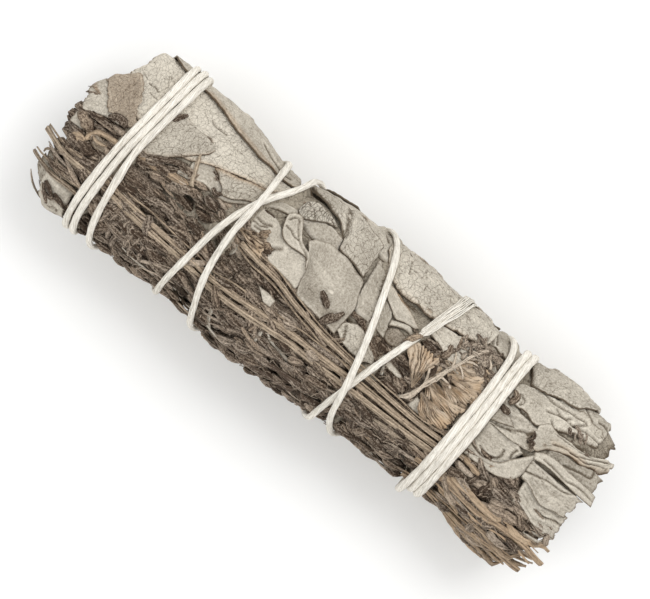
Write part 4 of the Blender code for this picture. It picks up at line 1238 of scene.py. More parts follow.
print("leaves noted:", len(LEAVES))

# %% Sage leaves near the cut end
leaf("sage_leaf_18", 2, "17.5 46, 21 47, 25 52, 31 55, 38 47, 44 44, 48.5 36",
    "18 32, 21 30, 25 24, 31 20, 37 9, 44 8, 47.5 12",
    step=0.27, veins=0.4, tone=0.72, crumple=0.55, pleat=(2.0, -0.22, 0.8), holes=[(45.5, 19, 0.45, 4.0)],
    creases=[("38 38, 41 33, 45 30", -0.5, 0.5), ("37.5 10, 41 14, 44 21, 46 24", -0.3, 0.4)],
    stains=[("45.2 25, 45.2 19, 46.8 13.5", 0.5, 0.6, 0.3)])
leaf("sage_leaf_19", 1, "18 106, 25 112, 32 108, 37.5 100",
    "19 72, 25 66, 29 62.5, 33 61, 37.5 63",
    veins=0.3, tone=0.6, rag=0.2, crumple=0.35, ends=(0.5, 0),
    creases=[("26.8 92, 27.5 77, 29 64", -0.7, 0.32), ("28 90, 28.9 76, 29.7 66", -0.6, 0.26)])
leaf("sage_leaf_20", 0, "37.5 104, 45 110, 51 106, 53.2 92",
    "37.6 72, 38.6 63, 39.6 55.5, 40.8 51.8, 42.5 53, 44.5 56, 47.6 57.2, 49.3 60.5, 50.5 66.5, 52 72, "
    "53 78",
    veins=0.6, tone=0.7, rag=0.3, crumple=0.35, ends=(0, 0.5), outline=(0.5, 1.4), pleat=(2.6, -0.12, 1.9),
    creases=[("38.5 88, 44 91, 50 90", -0.3, 0.35)], stains=[("40 100, 46 106, 51 101", 0.8, 0.1, 0.5)])
leaf("sage_leaf_21", 1, "46 72, 51 76, 53.3 78.5, 55 81.5, 56.3 88, 57.7 87",
    "45.5 58, 50 60, 54 60, 57.2 62",
    veins=0.3, tone=0.5, torn=(0, 1.0), ends=(0, 0), crumple=0.3,
    creases=[("50.5 68, 53 64, 55 60", -0.3, 0.4), ("54 70, 57 72", -0.3, 0.4)])
leaf("sage_leaf_22", 1, "37.4 54, 41 57, 45 60, 50 63, 54 64, 57.5 66",
    "37.4 33, 39.3 31, 41.8 31.5, 43 29.8, 44.6 28.3, 46 33, 48.5 38, 50.5 43, 52.5 48, 55 50, 57 53",
    step=0.27, veins=0.4, tone=0.7, rag=0.35, torn=(0, 1), ends=(0, 0), crumple=0.2,
    pleat=(1.7, -0.22, 0.7), outline=(1.0, 1.5),
    creases=[("44.8 44, 47 47.5, 50 49.5, 53 54, 57 58", -0.5, 0.32),
        ("46 50, 48 48.5, 49.2 52", -0.3, 0.3), ("50.5 50, 52.4 59", -0.3, 0.3),
        ("39 42, 40.2 38.5, 40 35", -0.6, 0.28), ("46.5 40, 47.5 37", -0.3, 0.3),
        ("42 55, 45.5 53, 49 56, 52 60", -0.4, 0.3)])
leaf("sage_leaf_23", 1, "37.2 -12.5, 39.5 -15, 42 -13.5, 43.8 -9, 45 -2, 46.2 4, 47.2 9, 48 13",
    "37.2 -24, 41 -22.5, 44 -20.5, 46 -17, 47.6 -12.5, 48.4 -8, 48.7 2, 49 12",
    veins=0.05, tone=0.64, rag=0.06, crumple=0.12, curl=(0.45, 0.0), ends=(0, 0), press=0.4,
    outline=(1.0, 1.0), pleat=(1.7, -0.08, 0.2))
leaf("sage_leaf_24", 1, "45 30, 46.5 36, 49 38.5, 51 40.5, 54 42, 56.7 45, 58.2 50, 60 56, 61.5 62",
    "45.3 22, 46.5 14.3, 47.7 14.5, 49 21, 51 26, 54 32, 56.5 33.5, 58.2 38.5, 61.4 49",
    step=0.27, veins=0.25, tone=0.68, rag=0.2, ends=(0, 0), torn=(0.3, 0.9), press=0.7,
    pleat=(1.3, -0.18, 0.5), outline=(1.3, 1.5), rim=(0, 0.3), crumple=0.16,
    creases=[("49.5 28, 51 31.5, 54 35, 56.5 36.5, 58 41, 60.5 48", -0.35, 0.25),
        ("48 35, 52 38, 56 42, 60.4 53", -0.45, 0.22), ("53 33.5, 55.5 38, 58.5 47, 60.8 57", -0.4, 0.22)],
    stains=[("48.2 23, 48.4 22.5", 0.25, 0.5, 0.4), ("49.5 29, 52 33, 56 36", 0.7, 0, 0.35)])
leaf("sage_leaf_25", 0, "47.6 14, 49.5 19, 52 21, 56 21.5, 58 22, 62 22.5",
    "48.3 9, 50 11, 54 12.3, 58 11.3, 62.5 10.8",
    veins=0.05, tone=0.6, ends=(0, 0), rag=0.06, crumple=0.1, outline=(0.8, 1.0), press=0.4,
    creases=[("50 14.5, 53 15, 56 14.5, 57.6 16.6, 61.8 16", -0.5, 0.28)])
leaf("sage_leaf_26", 1, "48.2 9.3, 50 10, 54 10.8, 57 11, 61 10.5",
    "48.6 -8, 50.5 -8, 53 -12, 55 -14.5, 57.5 -13, 60.1 -12.5",
    step=0.27, veins=0.35, tone=0.64, ends=(0, 0), torn=(0, 0.7), rag=0.15, crumple=0.35,
    pleat=(1.5, -0.24, 0.6), outline=(1.3, 1.3),
    creases=[("48.5 -1.5, 51 2, 53 4.5, 57 6.5, 58 8.5", -0.5, 0.3)])
leaf("sage_leaf_27", 2, "49.5 -5, 52 -7, 55 -10, 58 -9, 60.6 -11",
    "50.2 -26, 52 -26, 54 -28, 56.5 -32, 61.2 -37",
    step=0.27, veins=0.35, tone=0.62, ends=(0, 0), torn=(0, 0.6), rag=0.2, crumple=0.45,
    pleat=(1.5, -0.28, 0.6), outline=(1.0, 1.3),
    creases=[("54.5 -20, 57 -21.5, 58 -20, 60.3 -20.5", -0.6, 0.32),
        ("51 -4, 52.5 -8, 54.5 -20", 0.3, 0.5)])
print("leaves noted:", len(LEAVES))

# %% Sage leaves round the back
# what they have in common
UNDER = dict(veins=0.55, rag=0.8, rib=(0.5, 0.25, 3.0, 0.8), crumple=0.5, rim=(0.1, 0.2), step=0.58)
leaf("sage_leaf_28", 1, "-54 176, -44 181, -30 182, -12 181, 2 174",
    "-53 122, -44 119, -30 119, -12 111, 4 122",
    base=UNDER, tone=0.7, ends=(16, 9))
leaf("sage_leaf_29", 1, "-50 250, -40 255, -24 257, -8 255, 3 244",
    "-52 206, -40 190, -24 188, -8 189, 3 198",
    base=UNDER, tone=0.64, ends=(8, 17))
leaf("sage_leaf_30", 1, "6 174, 16 181, 32 182, 46 178, 57 170",
    "7 120, 16 116, 32 117, 46 115, 58 124",
    base=UNDER, tone=0.7, ends=(12, 5), torn=(0, 1))
leaf("sage_leaf_31", 1, "6 244, 16 254, 32 256, 46 256, 58 244",
    "5 202, 16 189, 32 188, 46 190, 57 202",
    base=UNDER, tone=0.62, ends=(16, 6), torn=(0, 1))
leaf("sage_leaf_32", 0, "-28.5 188, -25 203, -20 207, -15 203, -12.2 190",
    "-28.5 172, -25 157, -20 153, -15 157, -12.2 170",
    base=UNDER, tone=0.72, ends=(9, 5), step=0.42)
leaf("sage_leaf_33", 0, "2.6 190, 6 203, 11 207, 16 203, 20.2 190",
    "2.6 170, 6 157, 11 153, 16 157, 20.2 170",
    base=UNDER, tone=0.72, ends=(9, 5), step=0.42)
print("leaves noted:", len(LEAVES))

# %% Flakes
# a scrap that stands off a little along the side of the bundle
EDGE = dict(tone=0.5, veins=0.4, rag=0.6, crumple=0.3, ends=(2, 2), step=0.4, height=0.12)
flake(2, "-60.3 0, -58.5 -1, -56 -4", "-59.8 -20, -58.3 -19, -56 -17",
    tone=0.55, veins=0.05, ends=(0, 0), torn=(0.4, 0.3))
flake(1, "-57.8 -60.5, -55 -60, -50.5 -62", "-56 -91, -53 -93, -49.5 -92",
    tone=0.62, veins=0.1, ends=(0, 0), torn=(0.6, 0))
flake(2, "37.2 11, 41 11.5, 44 11, 46.2 8", "37.2 -13, 39.5 -16, 42.5 -15, 45 -6",
    tone=0.6, veins=0.05, ends=(0, 0), pleat=(2.1, 0.12, 0.4),
    creases=[("39 -11, 41 -13, 42.6 -10.5, 43.2 -5, 43 -1", -0.6, 0.32),
        ("44.9 -2.5, 44.6 2, 44.9 6", -0.6, 0.26)])
# painted shade: this flake is dark because it fills a shaded gap between the leaves
flake(1, "37.2 23.5, 39.3 23, 41.8 17.9", "37.2 11, 39.5 13.8, 41.8 17.1",
    tone=0.36, veins=0.1, ends=(0, 0.3), rag=0.1)
# painted shade: this flake is painted dark for the shade that lies over it
flake(2, "49.5 26, 53 31.8, 57 35.5, 58.6 40, 61.4 41", "49.5 17, 54 18, 58 19, 61.2 19",
    tone=0.34, veins=0.05, ends=(0, 0), torn=(0, 0.4),
    creases=[("58.9 38.5, 58.9 31, 57.2 29, 53.5 23", -0.4, 0.28)])
flake(2, "11.5 18, 13.5 20.4, 15.5 20, 16.8 16", "11.8 8, 13.5 5.5, 15.5 8, 16.6 11",
    tone=0.22, veins=0.1, brown=0.15, crumple=0.3)
flake(1, "11.1 22.6, 13 26, 15 28, 16 25.5", "11.3 16.9, 13 20.4, 14.8 22.4, 16 22",
    tone=0.6, veins=0.05, ends=(0, 0), rag=0.08, pleat=(1.2, 0.08, 0.3))
flake(1, "28.2 63, 30.5 64, 32.8 61", "28.1 47.5, 30 50, 32.9 46",
    tone=0.25, veins=0.4, brown=0.15, crumple=0.3)
flake(2, "24 -9, 26 -11.5, 28.5 -15", "23.4 -21, 25.5 -22, 28 -19", tone=0.55, veins=0.08, ends=(0, 0.4))
flake(1, "15.6 -2, 17.5 -3.5, 19.6 -5.5", "15.2 -7.5, 17.2 -8.5, 19.2 -9", tone=0.5, veins=0.05, rag=0.1)
flake(0, "-12.3 -15.8, -10 -15.8, -8 -17.5", "-11.2 -18.5, -9.9 -22.8, -8.1 -23.6",
    tone=0.62, veins=0.05, ends=(0, 0), rag=0.06, height=-0.25, creases=[("-9.7 -17, -9.8 -22", 0.15, 0.2)])
flake(1, "-54.2 -9.5, -52.5 -9, -51 -10", "-53.8 -22, -52 -23.5, -50.5 -23",
    tone=0.16, veins=0.05, rag=0.7, brown=0.2, crumple=0.4)
flake(2, "-60 -66, -57 -62, -52 -66", "-60 -112, -57 -116, -52 -112",
    base=UNDER, step=0.6, height=-2.8, ends=(0, 0), torn=(1, 0))
flake(2, "-59.5 -55, -56 -50, -51 -55", "-59.5 -105, -56 -110, -51 -105",
    base=UNDER, step=0.6, height=-4.6, ends=(0, 0), torn=(1, 0))
flake(1, "-46 214, -38 222, -28 214", "-46 205, -38 192, -28 203", base=UNDER, tone=0.5, ends=(6, 2))
flake(0, "-56 150, -47 166, -39 158", "-56 143, -47 132, -39 140", base=UNDER, tone=0.74, ends=(2, 7))
flake(0, "-12 235, -3 246, 7 238", "-12 228, -3 216, 7 224", base=UNDER, tone=0.56, ends=(7, 3))
flake(1, "-8 150, 4 160, 14 150", "-8 140, 4 127, 14 136", base=UNDER, tone=0.55, ends=(3, 8))
flake(0, "27 214, 37 226, 49 216", "27 204, 37 190, 49 200", base=UNDER, tone=0.7, ends=(9, 3))
flake(0, "36 152, 47 164, 58 150", "36 142, 47 130, 58 136", base=UNDER, tone=0.6, ends=(8, 0), torn=(0, 1))
flake(0, "-50 132, -40 140, -31 130", "-50 120, -40 111, -31 121", base=UNDER, tone=0.66, ends=(6, 6))
flake(0, "19 128, 27 138, 36 128", "19 118, 27 108, 36 117", base=UNDER, tone=0.74, ends=(6, 5))
flake(0, "5 103, 10 108, 15 103", "5 96, 10 90, 15 94", base=EDGE)
flake(1, "-2 103, 1 106, 4 103", "-2 92, 1 87, 4 91", base=EDGE)
flake(1, "28 104, 31 107, 34.5 104", "28.5 91, 31 84, 34 88", base=EDGE)
flake(0, "20 104, 24 107, 28.5 103", "20 93, 24 89, 28.5 93", base=EDGE)
flake(0, "-15 106, -10 110, -5 106", "-15 97, -10 91, -5 96", base=EDGE)
flake(0, "-38 112, -33 116, -27 112", "-38 97, -33 92, -27 96", base=EDGE)
flake(0, "40 104, 44 108, 49 104", "40 95, 44 91, 49 94", base=EDGE)
print("flakes noted:", len(FLAKES))

# %% Laying the leaves
FLAKE_SEED = 70.0
for depth in (2, 1, 0):
    heap = Heap()
    for number, (layer, high, low, traits) in enumerate(FLAKES):
        if layer == depth:
            sheet(heap, high, low, layer, seed=number + FLAKE_SEED, **traits)
    flakes = heap.piece(f"leaf_flakes_{depth}", "sage_leaf")
    budget[flakes.name] = heap.triangles
    for number, (name, (layer, high, low, traits)) in enumerate(LEAVES.items()):
        if layer == depth:
            heap = Heap()
            sheet(heap, high, low, layer, seed=number + 1.0, **traits)
            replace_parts(heap.piece(name + "_blade", "sage_leaf"), name)
            budget[name] = heap.triangles
print("sage leaves, triangles:", sum(budget[name] for name in LEAVES))

# %% [markdown]
# ## The withered shoot
# One brown shoot lies across the bundle: a bent stalk with side twigs, loose fibres and shrunken
# leaves. The leaves have dried into fans with deep ribs, so each opens from its root over a range
# of headings. A wide fan lies behind the others and fills the gaps between them.

# %% Withered shoot
# root, from which to which heading, length at those headings, number of ribs, layer
SHOOT_LEAVES = {
    "shoot_leaf_01": [((22.6, 24), (-22, 24), (10.5, 11.5), 14, 1.8), ((25.9, 28), (12, 70),
            (8.4, 6.4), 9, 1.1), ((25.4, 18), (-12, 40), (8.2, 8.4), 9, 0.5), ((24.9, 11), (-30, 16),
            (8.2, 8.0), 9, 0.9)],
    "shoot_leaf_02": [((21.6, 10), (-50, -10), (11.5, 11.0), 14, 1.7), ((24.3, 2), (-40, 6),
            (9.0, 8.6), 9, 1.0), ((23.8, -5), (-62, -8), (7.8, 9.2), 11, 0.3)],
    "shoot_leaf_03": [((24.3, 6), (92, 150), (5.0, 4.6), 7, 1.2), ((22.1, -8.5), (84, 124),
            (8.9, 10.8), 9, 0.0)],
}
SHOOT_STALK = "21.2 -19, 22.2 -16, 22.9 -11, 23.5 -2, 24.2 8, 25.2 18, 26.3 30, 27.2 40, 28.4 50"
SHOOT_END = 32.9         # the fans go no further than under the string, mm
FAN_THICK = 0.16
FAN_STEP = 0.32          # from row to row of a fan, mm
RIB_STEPS = 7            # columns from one rib to the next
FAN_TONE = 0.98


def fan(heap, root, headings, reach, ribs, layer, seed, tone):
    """Adds a dried leaf that opens from its root like a fan, with a sharp fold between ribs."""
    share = np.linspace(0, 1, round(max(reach) / FAN_STEP))[:, None]
    turn = np.linspace(0, 1, ribs * RIB_STEPS)[None]
    long = (reach[0] * (1 - turn) + reach[1] * turn - 1.1 * noise(turn * 7, seed)
            - 0.7 * noise(turn * 29, seed + 1))
    heading = np.radians(headings[0] + (headings[1] - headings[0]) * turn
                         + 5 * rough(share * 2, turn * 3, seed))
    x = np.minimum(root[0] + (0.3 + share * long) * np.cos(heading), SHOOT_END)
    angle = root[1] + (0.3 + share * long) * np.sin(heading) / ARC
    wave = np.abs(np.sin(np.pi * (ribs * turn + 0.9 * rough(share * 2.5, turn * 3, seed + 2))))
    up = -0.25 - 0.4 * layer + 0.7 * ramp(share, 0, 0.3) * (wave - 0.6) + 0.7 * bumps(x, angle, 1.4, seed)
    up = above_pile(up, x, angle, 0.12)
    up = np.where(pile.read(pinch, x, angle) < 0.8, np.minimum(up, -0.2), up)
    # painted shade in the folds between ribs and on the deeper fans, and a painted highlight on the ribs'
    # tops
    tone = (tone + 0.12 * wave - 0.7 * bell(wave, 0.24) - 0.1 * layer
            + 0.5 * rough(share * 5, turn * 6, seed + 4))
    tone = tone + 0.4 * rough(share * long / 0.7, turn * ribs * 1.3, seed + 6)
    grain = np.stack([share * long, ribs * turn * 1.2 + 0 * share, seed + 0 * x], -1)
    slab(heap, x, angle, up, FAN_THICK, grain, tone, 0.62 + 0.35 * rough(share * 3, turn * 4, seed + 9))
    pile.add(x, angle, up)


for number, (name, fans) in enumerate(SHOOT_LEAVES.items()):
    heap = Heap()
    for part, shape in enumerate(fans):
        fan(heap, *shape, seed=50.0 + 3 * number + part, tone=FAN_TONE)
    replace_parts(heap.piece(name + "_fan", "dried_brown_leaf"), name)
    budget[name] = heap.triangles
print("shoot leaves:", len(SHOOT_LEAVES))

# %% The shoot's stalk
# its side twigs: the point of the stalk it grows from, heading, bend, length and half width
TWIGS = [(8, 78, 40, 6.0, 0.22), (20, 20, -60, 3.4, 0.24), (26, 95, 30, 5.0, 0.2), (33, 40, -50, 4.4, 0.24),
         (40, 50, -130, 5.0, 0.26), (30, -20, -40, 3.0, 0.18)]
STALK_FIBRES = 14
heap = Heap()
rng = np.random.default_rng(5)
rows = level(SHOOT_STALK, 44, -0.2 - STEM_R)
lift_onto_pile(rows, 3, 0.15)
points, out = path_on(rows, len(rows))
tube(heap, points, out, STEM_R * (0.78 + 0.3 * rough(np.arange(len(rows)) / 4)), 14, ribs=5, groove=0.3,
     twist=0.06, tone=1.05, brown=0.0, groove_shade=0.7, lumps=0.25)
for first, heading, bend, long, thick in TWIGS:
    twig = run_from(rows[first, 0], rows[first, 1], rows[first, 2] + 0.25, heading, bend, long, 9)[1]
    twig[:, 0] = np.minimum(twig[:, 0], SHOOT_END)
    lift_onto_pile(twig, 1, 0.15)
    thread(heap, rng, twig, thick, 0.95, 0.1, 9)
for _ in range(STALK_FIBRES):
    first = rng.integers(0, 30)
    strand = rows[first:first + 13:4] + rng.normal(0, 0.25, (4, 3)) * (1, 3, 0) + (0, 0, 0.4)
    thread(heap, rng, strand, rng.uniform(0.07, 0.14), 1.0, 0.0, 8, 5)
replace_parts(heap.piece("shoot_stalk_twig", "dried_brown_leaf"), "shoot_stalk")
budget["shoot_stalk"] = heap.triangles
print("shoot stalk, triangles:", heap.triangles)

# %% [markdown]
# ## Loose bits
# A real bundle is untidy. Broken stems, single flower cups, buds and curled petals lie where they
# fell, on the leaves and between them. Each kind has its own section and finish, and each bit only
# needs a line to follow: it lies on whatever the pile has there. They stand for no node of the
# model, so they are gathered into one piece for each finish.

# %% Loose bits
# kind: finish, flatness, ribs, depth of grooves
BIT_KINDS = {
    "bud": ("lavender_flower", 0.75, 6, 0.25),
    "twig": ("lavender_stem", 0.75, 4, 0.25),
    "strap": ("lavender_stem", 0.3, 6, 0.2),
    "husk": ("dried_brown_leaf", 0.3, 6, 0.28),
    "strip": ("sage_leaf", 0.2, 3, 0.1),
}
# kind, line, half width, lightness, brownness
BITS = [
    ("bud", "-45 28, -44.3 37, -42.9 46.5", 0.66, 0.22, 0.1),
    ("bud", "-43.7 3, -40.5 10.5, -36.9 17.5", 0.68, 0.26, 0.1),
    ("twig", "-36.3 28, -35 16, -33.9 7, -31 0.5", 0.44, 0.72, 0.1),
    ("strap", "-45.3 -1.5, -42 0, -38 3.2, -34.4 5.5", 0.85, 0.6, 0.7),
    ("strip", "-38.3 8.5, -36.5 10.5, -35 11.5", 0.5, 0.75, 0.0),
    ("twig", "-57.5 -30, -56.4 -24, -54.9 -22.5", 0.95, 0.8, 0.6),
    ("twig", "-55 -21, -54.6 -13, -53.8 -9, -52 -7, -49.5 -5.5", 0.62, 0.78, 0.6),
    ("twig", "-54.5 -14, -53 -15.5, -51 -14", 0.3, 0.75, 0.5),
    ("bud", "-57.3 5.5, -56 4.5, -54.6 5.5", 0.3, 0.12, 0.2),
    ("bud", "-55.4 0.5, -54.6 3, -54.4 6.5", 0.45, 0.15, 0.2),
    ("bud", "-54.3 9, -52.6 12.5, -50.3 10.5", 0.85, 0.25, 0.1),
    ("husk", "-59.3 -2, -57.5 -7, -56 -13", 1.1, 0.45, 0.5),
    ("husk", "-57.5 -1, -56.2 -7, -55.2 -18", 0.9, 0.35, 0.5),
    ("bud", "-60 -29, -58.5 -32.5, -56.5 -33", 0.9, 0.2, 0.1),
    ("bud", "-59.6 -22, -58 -24, -56.5 -25.5", 0.7, 0.25, 0.1),
    ("husk", "-61.2 39, -60.2 31, -58.4 24", 0.34, 0.5, 0.6),
    ("husk", "-60.8 26, -59.6 24, -58.6 22.5", 0.28, 0.45, 0.6),
    ("husk", "-59.4 -49, -57.5 -52, -54 -51", 1.0, 0.42, 0.4),
    ("husk", "-59.3 -55.5, -57 -56.5, -54 -54.5", 0.8, 0.36, 0.5),
    ("bud", "-56.2 -66, -54.8 -68, -53 -72", 0.6, 0.15, 0.1),
    ("bud", "-55.6 -72, -54.2 -73, -52.4 -70", 0.5, 0.22, 0.1),
    ("husk", "-56.4 -70, -55 -74, -53.5 -78", 0.65, 0.28, 0.3),
    ("bud", "-53.4 -68, -51.8 -70, -50.2 -74", 0.5, 0.14, 0.1),
    ("bud", "-30.6 15.5, -29.4 14, -28.6 16", 0.5, 0.3, 0.1),
    ("husk", "-21.7 8.3, -18.5 10, -16.5 10, -14.4 10", 1.05, 0.45, 0.75),
    ("husk", "-20.5 10, -18.2 14, -17 21", 0.75, 0.42, 0.6),
    ("bud", "-16.8 7, -15.5 7, -14.4 9", 0.6, 0.2, 0.3),
    ("husk", "-18.9 51, -16.8 56, -15.2 59", 1.2, 0.55, 0.75),
    ("husk", "-17.2 61.5, -15.5 63, -14.5 66", 0.3, 0.3, 0.2),
    ("strip", "-16.4 72, -14 69, -11 63.5", 0.35, 0.35, 0.1),
    ("bud", "-20.6 35, -18.5 38.6, -16.4 38.2", 0.3, 0.12, 0.1),
    ("bud", "-20.3 31.5, -19 32, -18 31.5", 0.25, 0.12, 0.1),
    ("bud", "-2.5 7.4, -1.2 4.5, 0.4 0", 0.62, 0.26, 0.1),
    ("bud", "0.7 -12, 1.6 -6, 2 0", 0.8, 0.24, 0.1),
    ("bud", "1.4 -10, 2.6 -2, 3.4 5", 0.72, 0.28, 0.1),
    ("strap", "4.6 10, 7 7.5, 9.2 7.5", 0.55, 0.3, 0.3),
    ("husk", "9.6 5, 12 1, 14.2 -4", 1.1, 0.38, 0.4),
    ("husk", "10.2 0, 12 -4, 13.5 -9", 0.8, 0.34, 0.3),
    ("strap", "8.8 40.5, 12 37, 16.2 33", 0.46, 0.55, 0.8),
    ("strap", "18.3 30, 20.5 27.5, 23 24", 0.75, 0.6, 0.7),
    ("bud", "18 26, 19 24.5, 20.2 22", 0.7, 0.15, 0.1),
    ("husk", "23.6 48, 24.2 39, 23.4 29", 0.42, 0.42, 0.5),
    ("husk", "25.4 46, 26.2 50, 28.2 52", 0.8, 0.3, 0.3),
    ("husk", "22.9 36, 23.3 30, 22.8 25", 0.7, 0.4, 0.4),
    ("bud", "22.9 17, 23.4 12, 23.3 8", 0.45, 0.02, 0.1),
    ("strip", "15.4 -7.5, 15.9 -13, 16.4 -20", 0.3, 0.7, 0.0),
    ("husk", "17 -12, 18.6 -17, 20.6 -19.5", 0.85, 0.5, 0.3),
    ("husk", "18.2 -9, 20 -14, 21.4 -15", 0.8, 0.45, 0.3),
    ("husk", "17.5 -21, 19.6 -22.5, 21.5 -20", 0.5, 0.55, 0.2),
    ("bud", "16.9 -0.5, 18 1, 20.4 1", 0.28, 0.05, 0.1),
    ("husk", "29.2 43, 30.6 40, 31.9 34", 0.7, 0.25, 0.4),
    ("husk", "28.2 38, 29.8 37, 31.3 38.5", 0.6, 0.3, 0.5),
    ("husk", "37.5 42, 38.6 38, 38.2 31", 0.8, 0.42, 0.4),
    ("bud", "37.4 27, 38.4 24, 39.5 23", 0.7, 0.2, 0.1),
    ("bud", "45.2 25, 45.9 21, 45.2 17", 0.3, 0.1, 0.1),
    ("bud", "45.4 16, 46.4 18, 46.5 13.5", 0.28, 0.1, 0.1),
    ("bud", "50.8 42.5, 53.2 46.5, 55.6 45", 0.85, 0.25, 0.1),
    ("bud", "53 48, 54.2 44.5, 56.4 47", 0.5, 0.3, 0.2),
    ("twig", "37.2 -26.5, 39.5 -26.8, 42.3 -28.2", 0.62, 0.8, 0.75),
    ("twig", "37 -66, 40 -66, 44 -65", 0.7, 0.75, 0.8),
    ("twig", "44 -62, 49 -60, 55.5 -63", 0.5, 0.55, 0.6),
    ("twig", "37 -47.5, 40 -48.5, 44 -50", 0.8, 0.7, 0.7),
    ("husk", "47 -38, 49 -41, 51 -40.5", 0.7, 0.45, 0.2),
    ("twig", "50 -43, 55 -43, 60.5 -46", 0.4, 0.45, 0.3),
    ("strip", "54 -37.5, 58 -38.5, 60.8 -39", 0.35, 0.62, 0.0),
    ("strip", "55.5 -41.5, 58.5 -43, 61 -43.5", 0.5, 0.6, 0.0),
    ("bud", "54 -51, 56 -53, 57 -57", 0.8, 0.3, 0.1),
    ("strip", "-6.4 -41, -6.5 -52, -6.8 -61", 0.42, 0.62, 0.0),
    ("strip", "-7.8 -61, -7 -64, -6 -66.5", 0.38, 0.6, 0.0),
    ("strip", "-5.6 -40, -4.2 -44.5, -2 -47, 2 -50", 0.52, 0.62, 0.0),
    ("strip", "-20.2 -1, -20 -7, -20.3 -12", 0.42, 0.5, 0.0),
    ("strip", "-17.3 -43, -16.4 -53, -15.6 -63, -13.6 -76", 0.42, 0.55, 0.0),
    ("strip", "-15.3 -69, -12.5 -72, -10 -73", 0.6, 0.6, 0.0),
    ("husk", "-13 -74, -7 -67.5, 0 -60, 8 -58", 1.0, 0.18, 0.2),
    ("husk", "-8 -80, 0 -72, 8 -68, 12 -68", 1.1, 0.22, 0.2),
    ("strap", "19.6 -61.5, 23 -63.5, 27 -68.5", 0.75, 0.62, 0.7),
    ("strip", "17.8 -76, 20.5 -78.5, 23.4 -78.5, 25 -84", 0.38, 0.8, 0.0),
    ("strap", "20.2 -46, 26 -46.5, 33 -46.5", 0.8, 0.55, 0.0),
    ("strap", "10.5 -34.5, 20 -35.5, 31.6 -36.8", 1.1, 0.55, 0.6),
    ("strap", "14 -23, 22 -25.5, 32 -29", 0.75, 0.52, 0.6),
    ("twig", "42 -83, 50 -87, 58.5 -93", 0.75, 0.68, 0.75),
    ("twig", "46 -77, 54 -79, 60.5 -84", 0.6, 0.62, 0.7),
    ("twig", "44 -95, 52 -99, 58 -98", 0.5, 0.5, 0.5),
    ("twig", "48 -70, 55 -72, 61 -72", 0.45, 0.6, 0.5),
    ("twig", "50 -61, 56 -63, 61.2 -66", 0.5, 0.62, 0.6),
    ("twig", "47 -90, 53 -87, 59.5 -86", 0.4, 0.55, 0.4),
    ("strip", "45 -98, 49 -104, 52.5 -107", 0.9, 0.55, 0.1),
    ("strip", "-37 -66, -33 -69, -29 -69, -24 -66", 0.45, 0.6, 0.0),
    ("twig", "37.5 -45, 45 -43.5, 52 -43.5, 58 -47, 61.8 -54", 0.8, 0.86, 0.65),
]
# where crumbs of dark flowers lie thick: from and to along the bundle, between which angles, how many
CRUMBS = [((27, 31.5), (43, 58), 60), ((24.5, 27), (40, 48), 10), ((28, 33), (34, 44), 12),
          ((50.5, 55), (44, 47.5), 8)]
# curled ribbed petals near the tip end: x and angle of each root
CURLS = [(-43.2, -43), (-42.2, -42.5), (-41.0, -43), (-39.8, -43.5), (-38.8, -43), (-37.6, -44), (-36.6, -47),
         (-40.6, -55), (-39, -58), (-43.5, -56), (-35.2, -49), (-33.8, -51)]
print("bits that are placed one by one:", len(BITS) + len(CURLS))

# %% Laying the loose bits
def lie_on_pile(line, half, flat):
    """Rows for a bit that follows a line and lies on what is there, and its addition to the pile."""
    at = on_line(line, np.linspace(0, 1, max(7, round(stretches(line).sum() / 0.45))))
    height = pile.under(at[:, 0], at[:, 1], 1)
    padded = np.pad(height, 2, mode="edge")
    height = np.maximum(height, (padded[:-4] + padded[1:-3] + padded[2:-2] + padded[3:-1] + padded[4:]) / 5)
    height = height + half * flat * 0.6 + splay(at[:, 0], at[:, 1])
    near_string = pile.read(pinch, at[:, 0], at[:, 1])
    height = np.minimum(height, -0.2 - half * flat + 2.0 * ramp(near_string, 0.7, 1.8))
    pile.add(at[:, 0], at[:, 1], height + half * flat * 0.8)
    return np.column_stack([at, height])


def add_bit(kind, rows, half, tone, brown):
    """Adds one bit of that kind along (x, angle, height) rows."""
    slot, flat, ribs, groove = BIT_KINDS[kind]
    points, out = path_on(rows, len(rows))
    s = np.linspace(0, 1, len(rows))
    blunt = np.clip(np.minimum(s, 1 - s) * (9 if kind in ("twig", "strap") else 4.5), 0.3, 1) ** 0.5
    ragged = 1 + 0.18 * rough(s * stretches(rows[:, :2]).sum() / 1.3, rng.uniform(0, 40))
    tube(heaps[slot], points, out, half * blunt * ragged, 12, flat=flat, ribs=ribs, groove=groove,
         cup=rng.uniform(-0.15, 0.3) if flat < 0.5 else 0, twist=rng.uniform(-0.1, 0.1), lumps=0.12,
         seed=rng.uniform(0, 90), tone=tone, brown=brown, groove_shade=0.45)


heaps = {slot: Heap() for slot, *_ in BIT_KINDS.values()}
rng = np.random.default_rng(9)
for kind, line, half, tone, brown in BITS:
    add_bit(kind, lie_on_pile(line, half, BIT_KINDS[kind][1]), half, tone, brown)
for along, angles, number in CRUMBS:
    for _ in range(number):
        kind = rng.choice(["bud", "husk", "husk"])
        half = rng.uniform(0.25, 0.6)
        rows = run_from(rng.uniform(*along), rng.uniform(*angles), 0.0, rng.uniform(0, 360),
                        rng.uniform(-70, 70), rng.uniform(1.2, 3.0), 8)[1]
        add_bit(kind, lie_on_pile(rows[:, :2], half, 0.5), half,
                rng.uniform(0.35, 0.75), rng.uniform(0, 0.15))
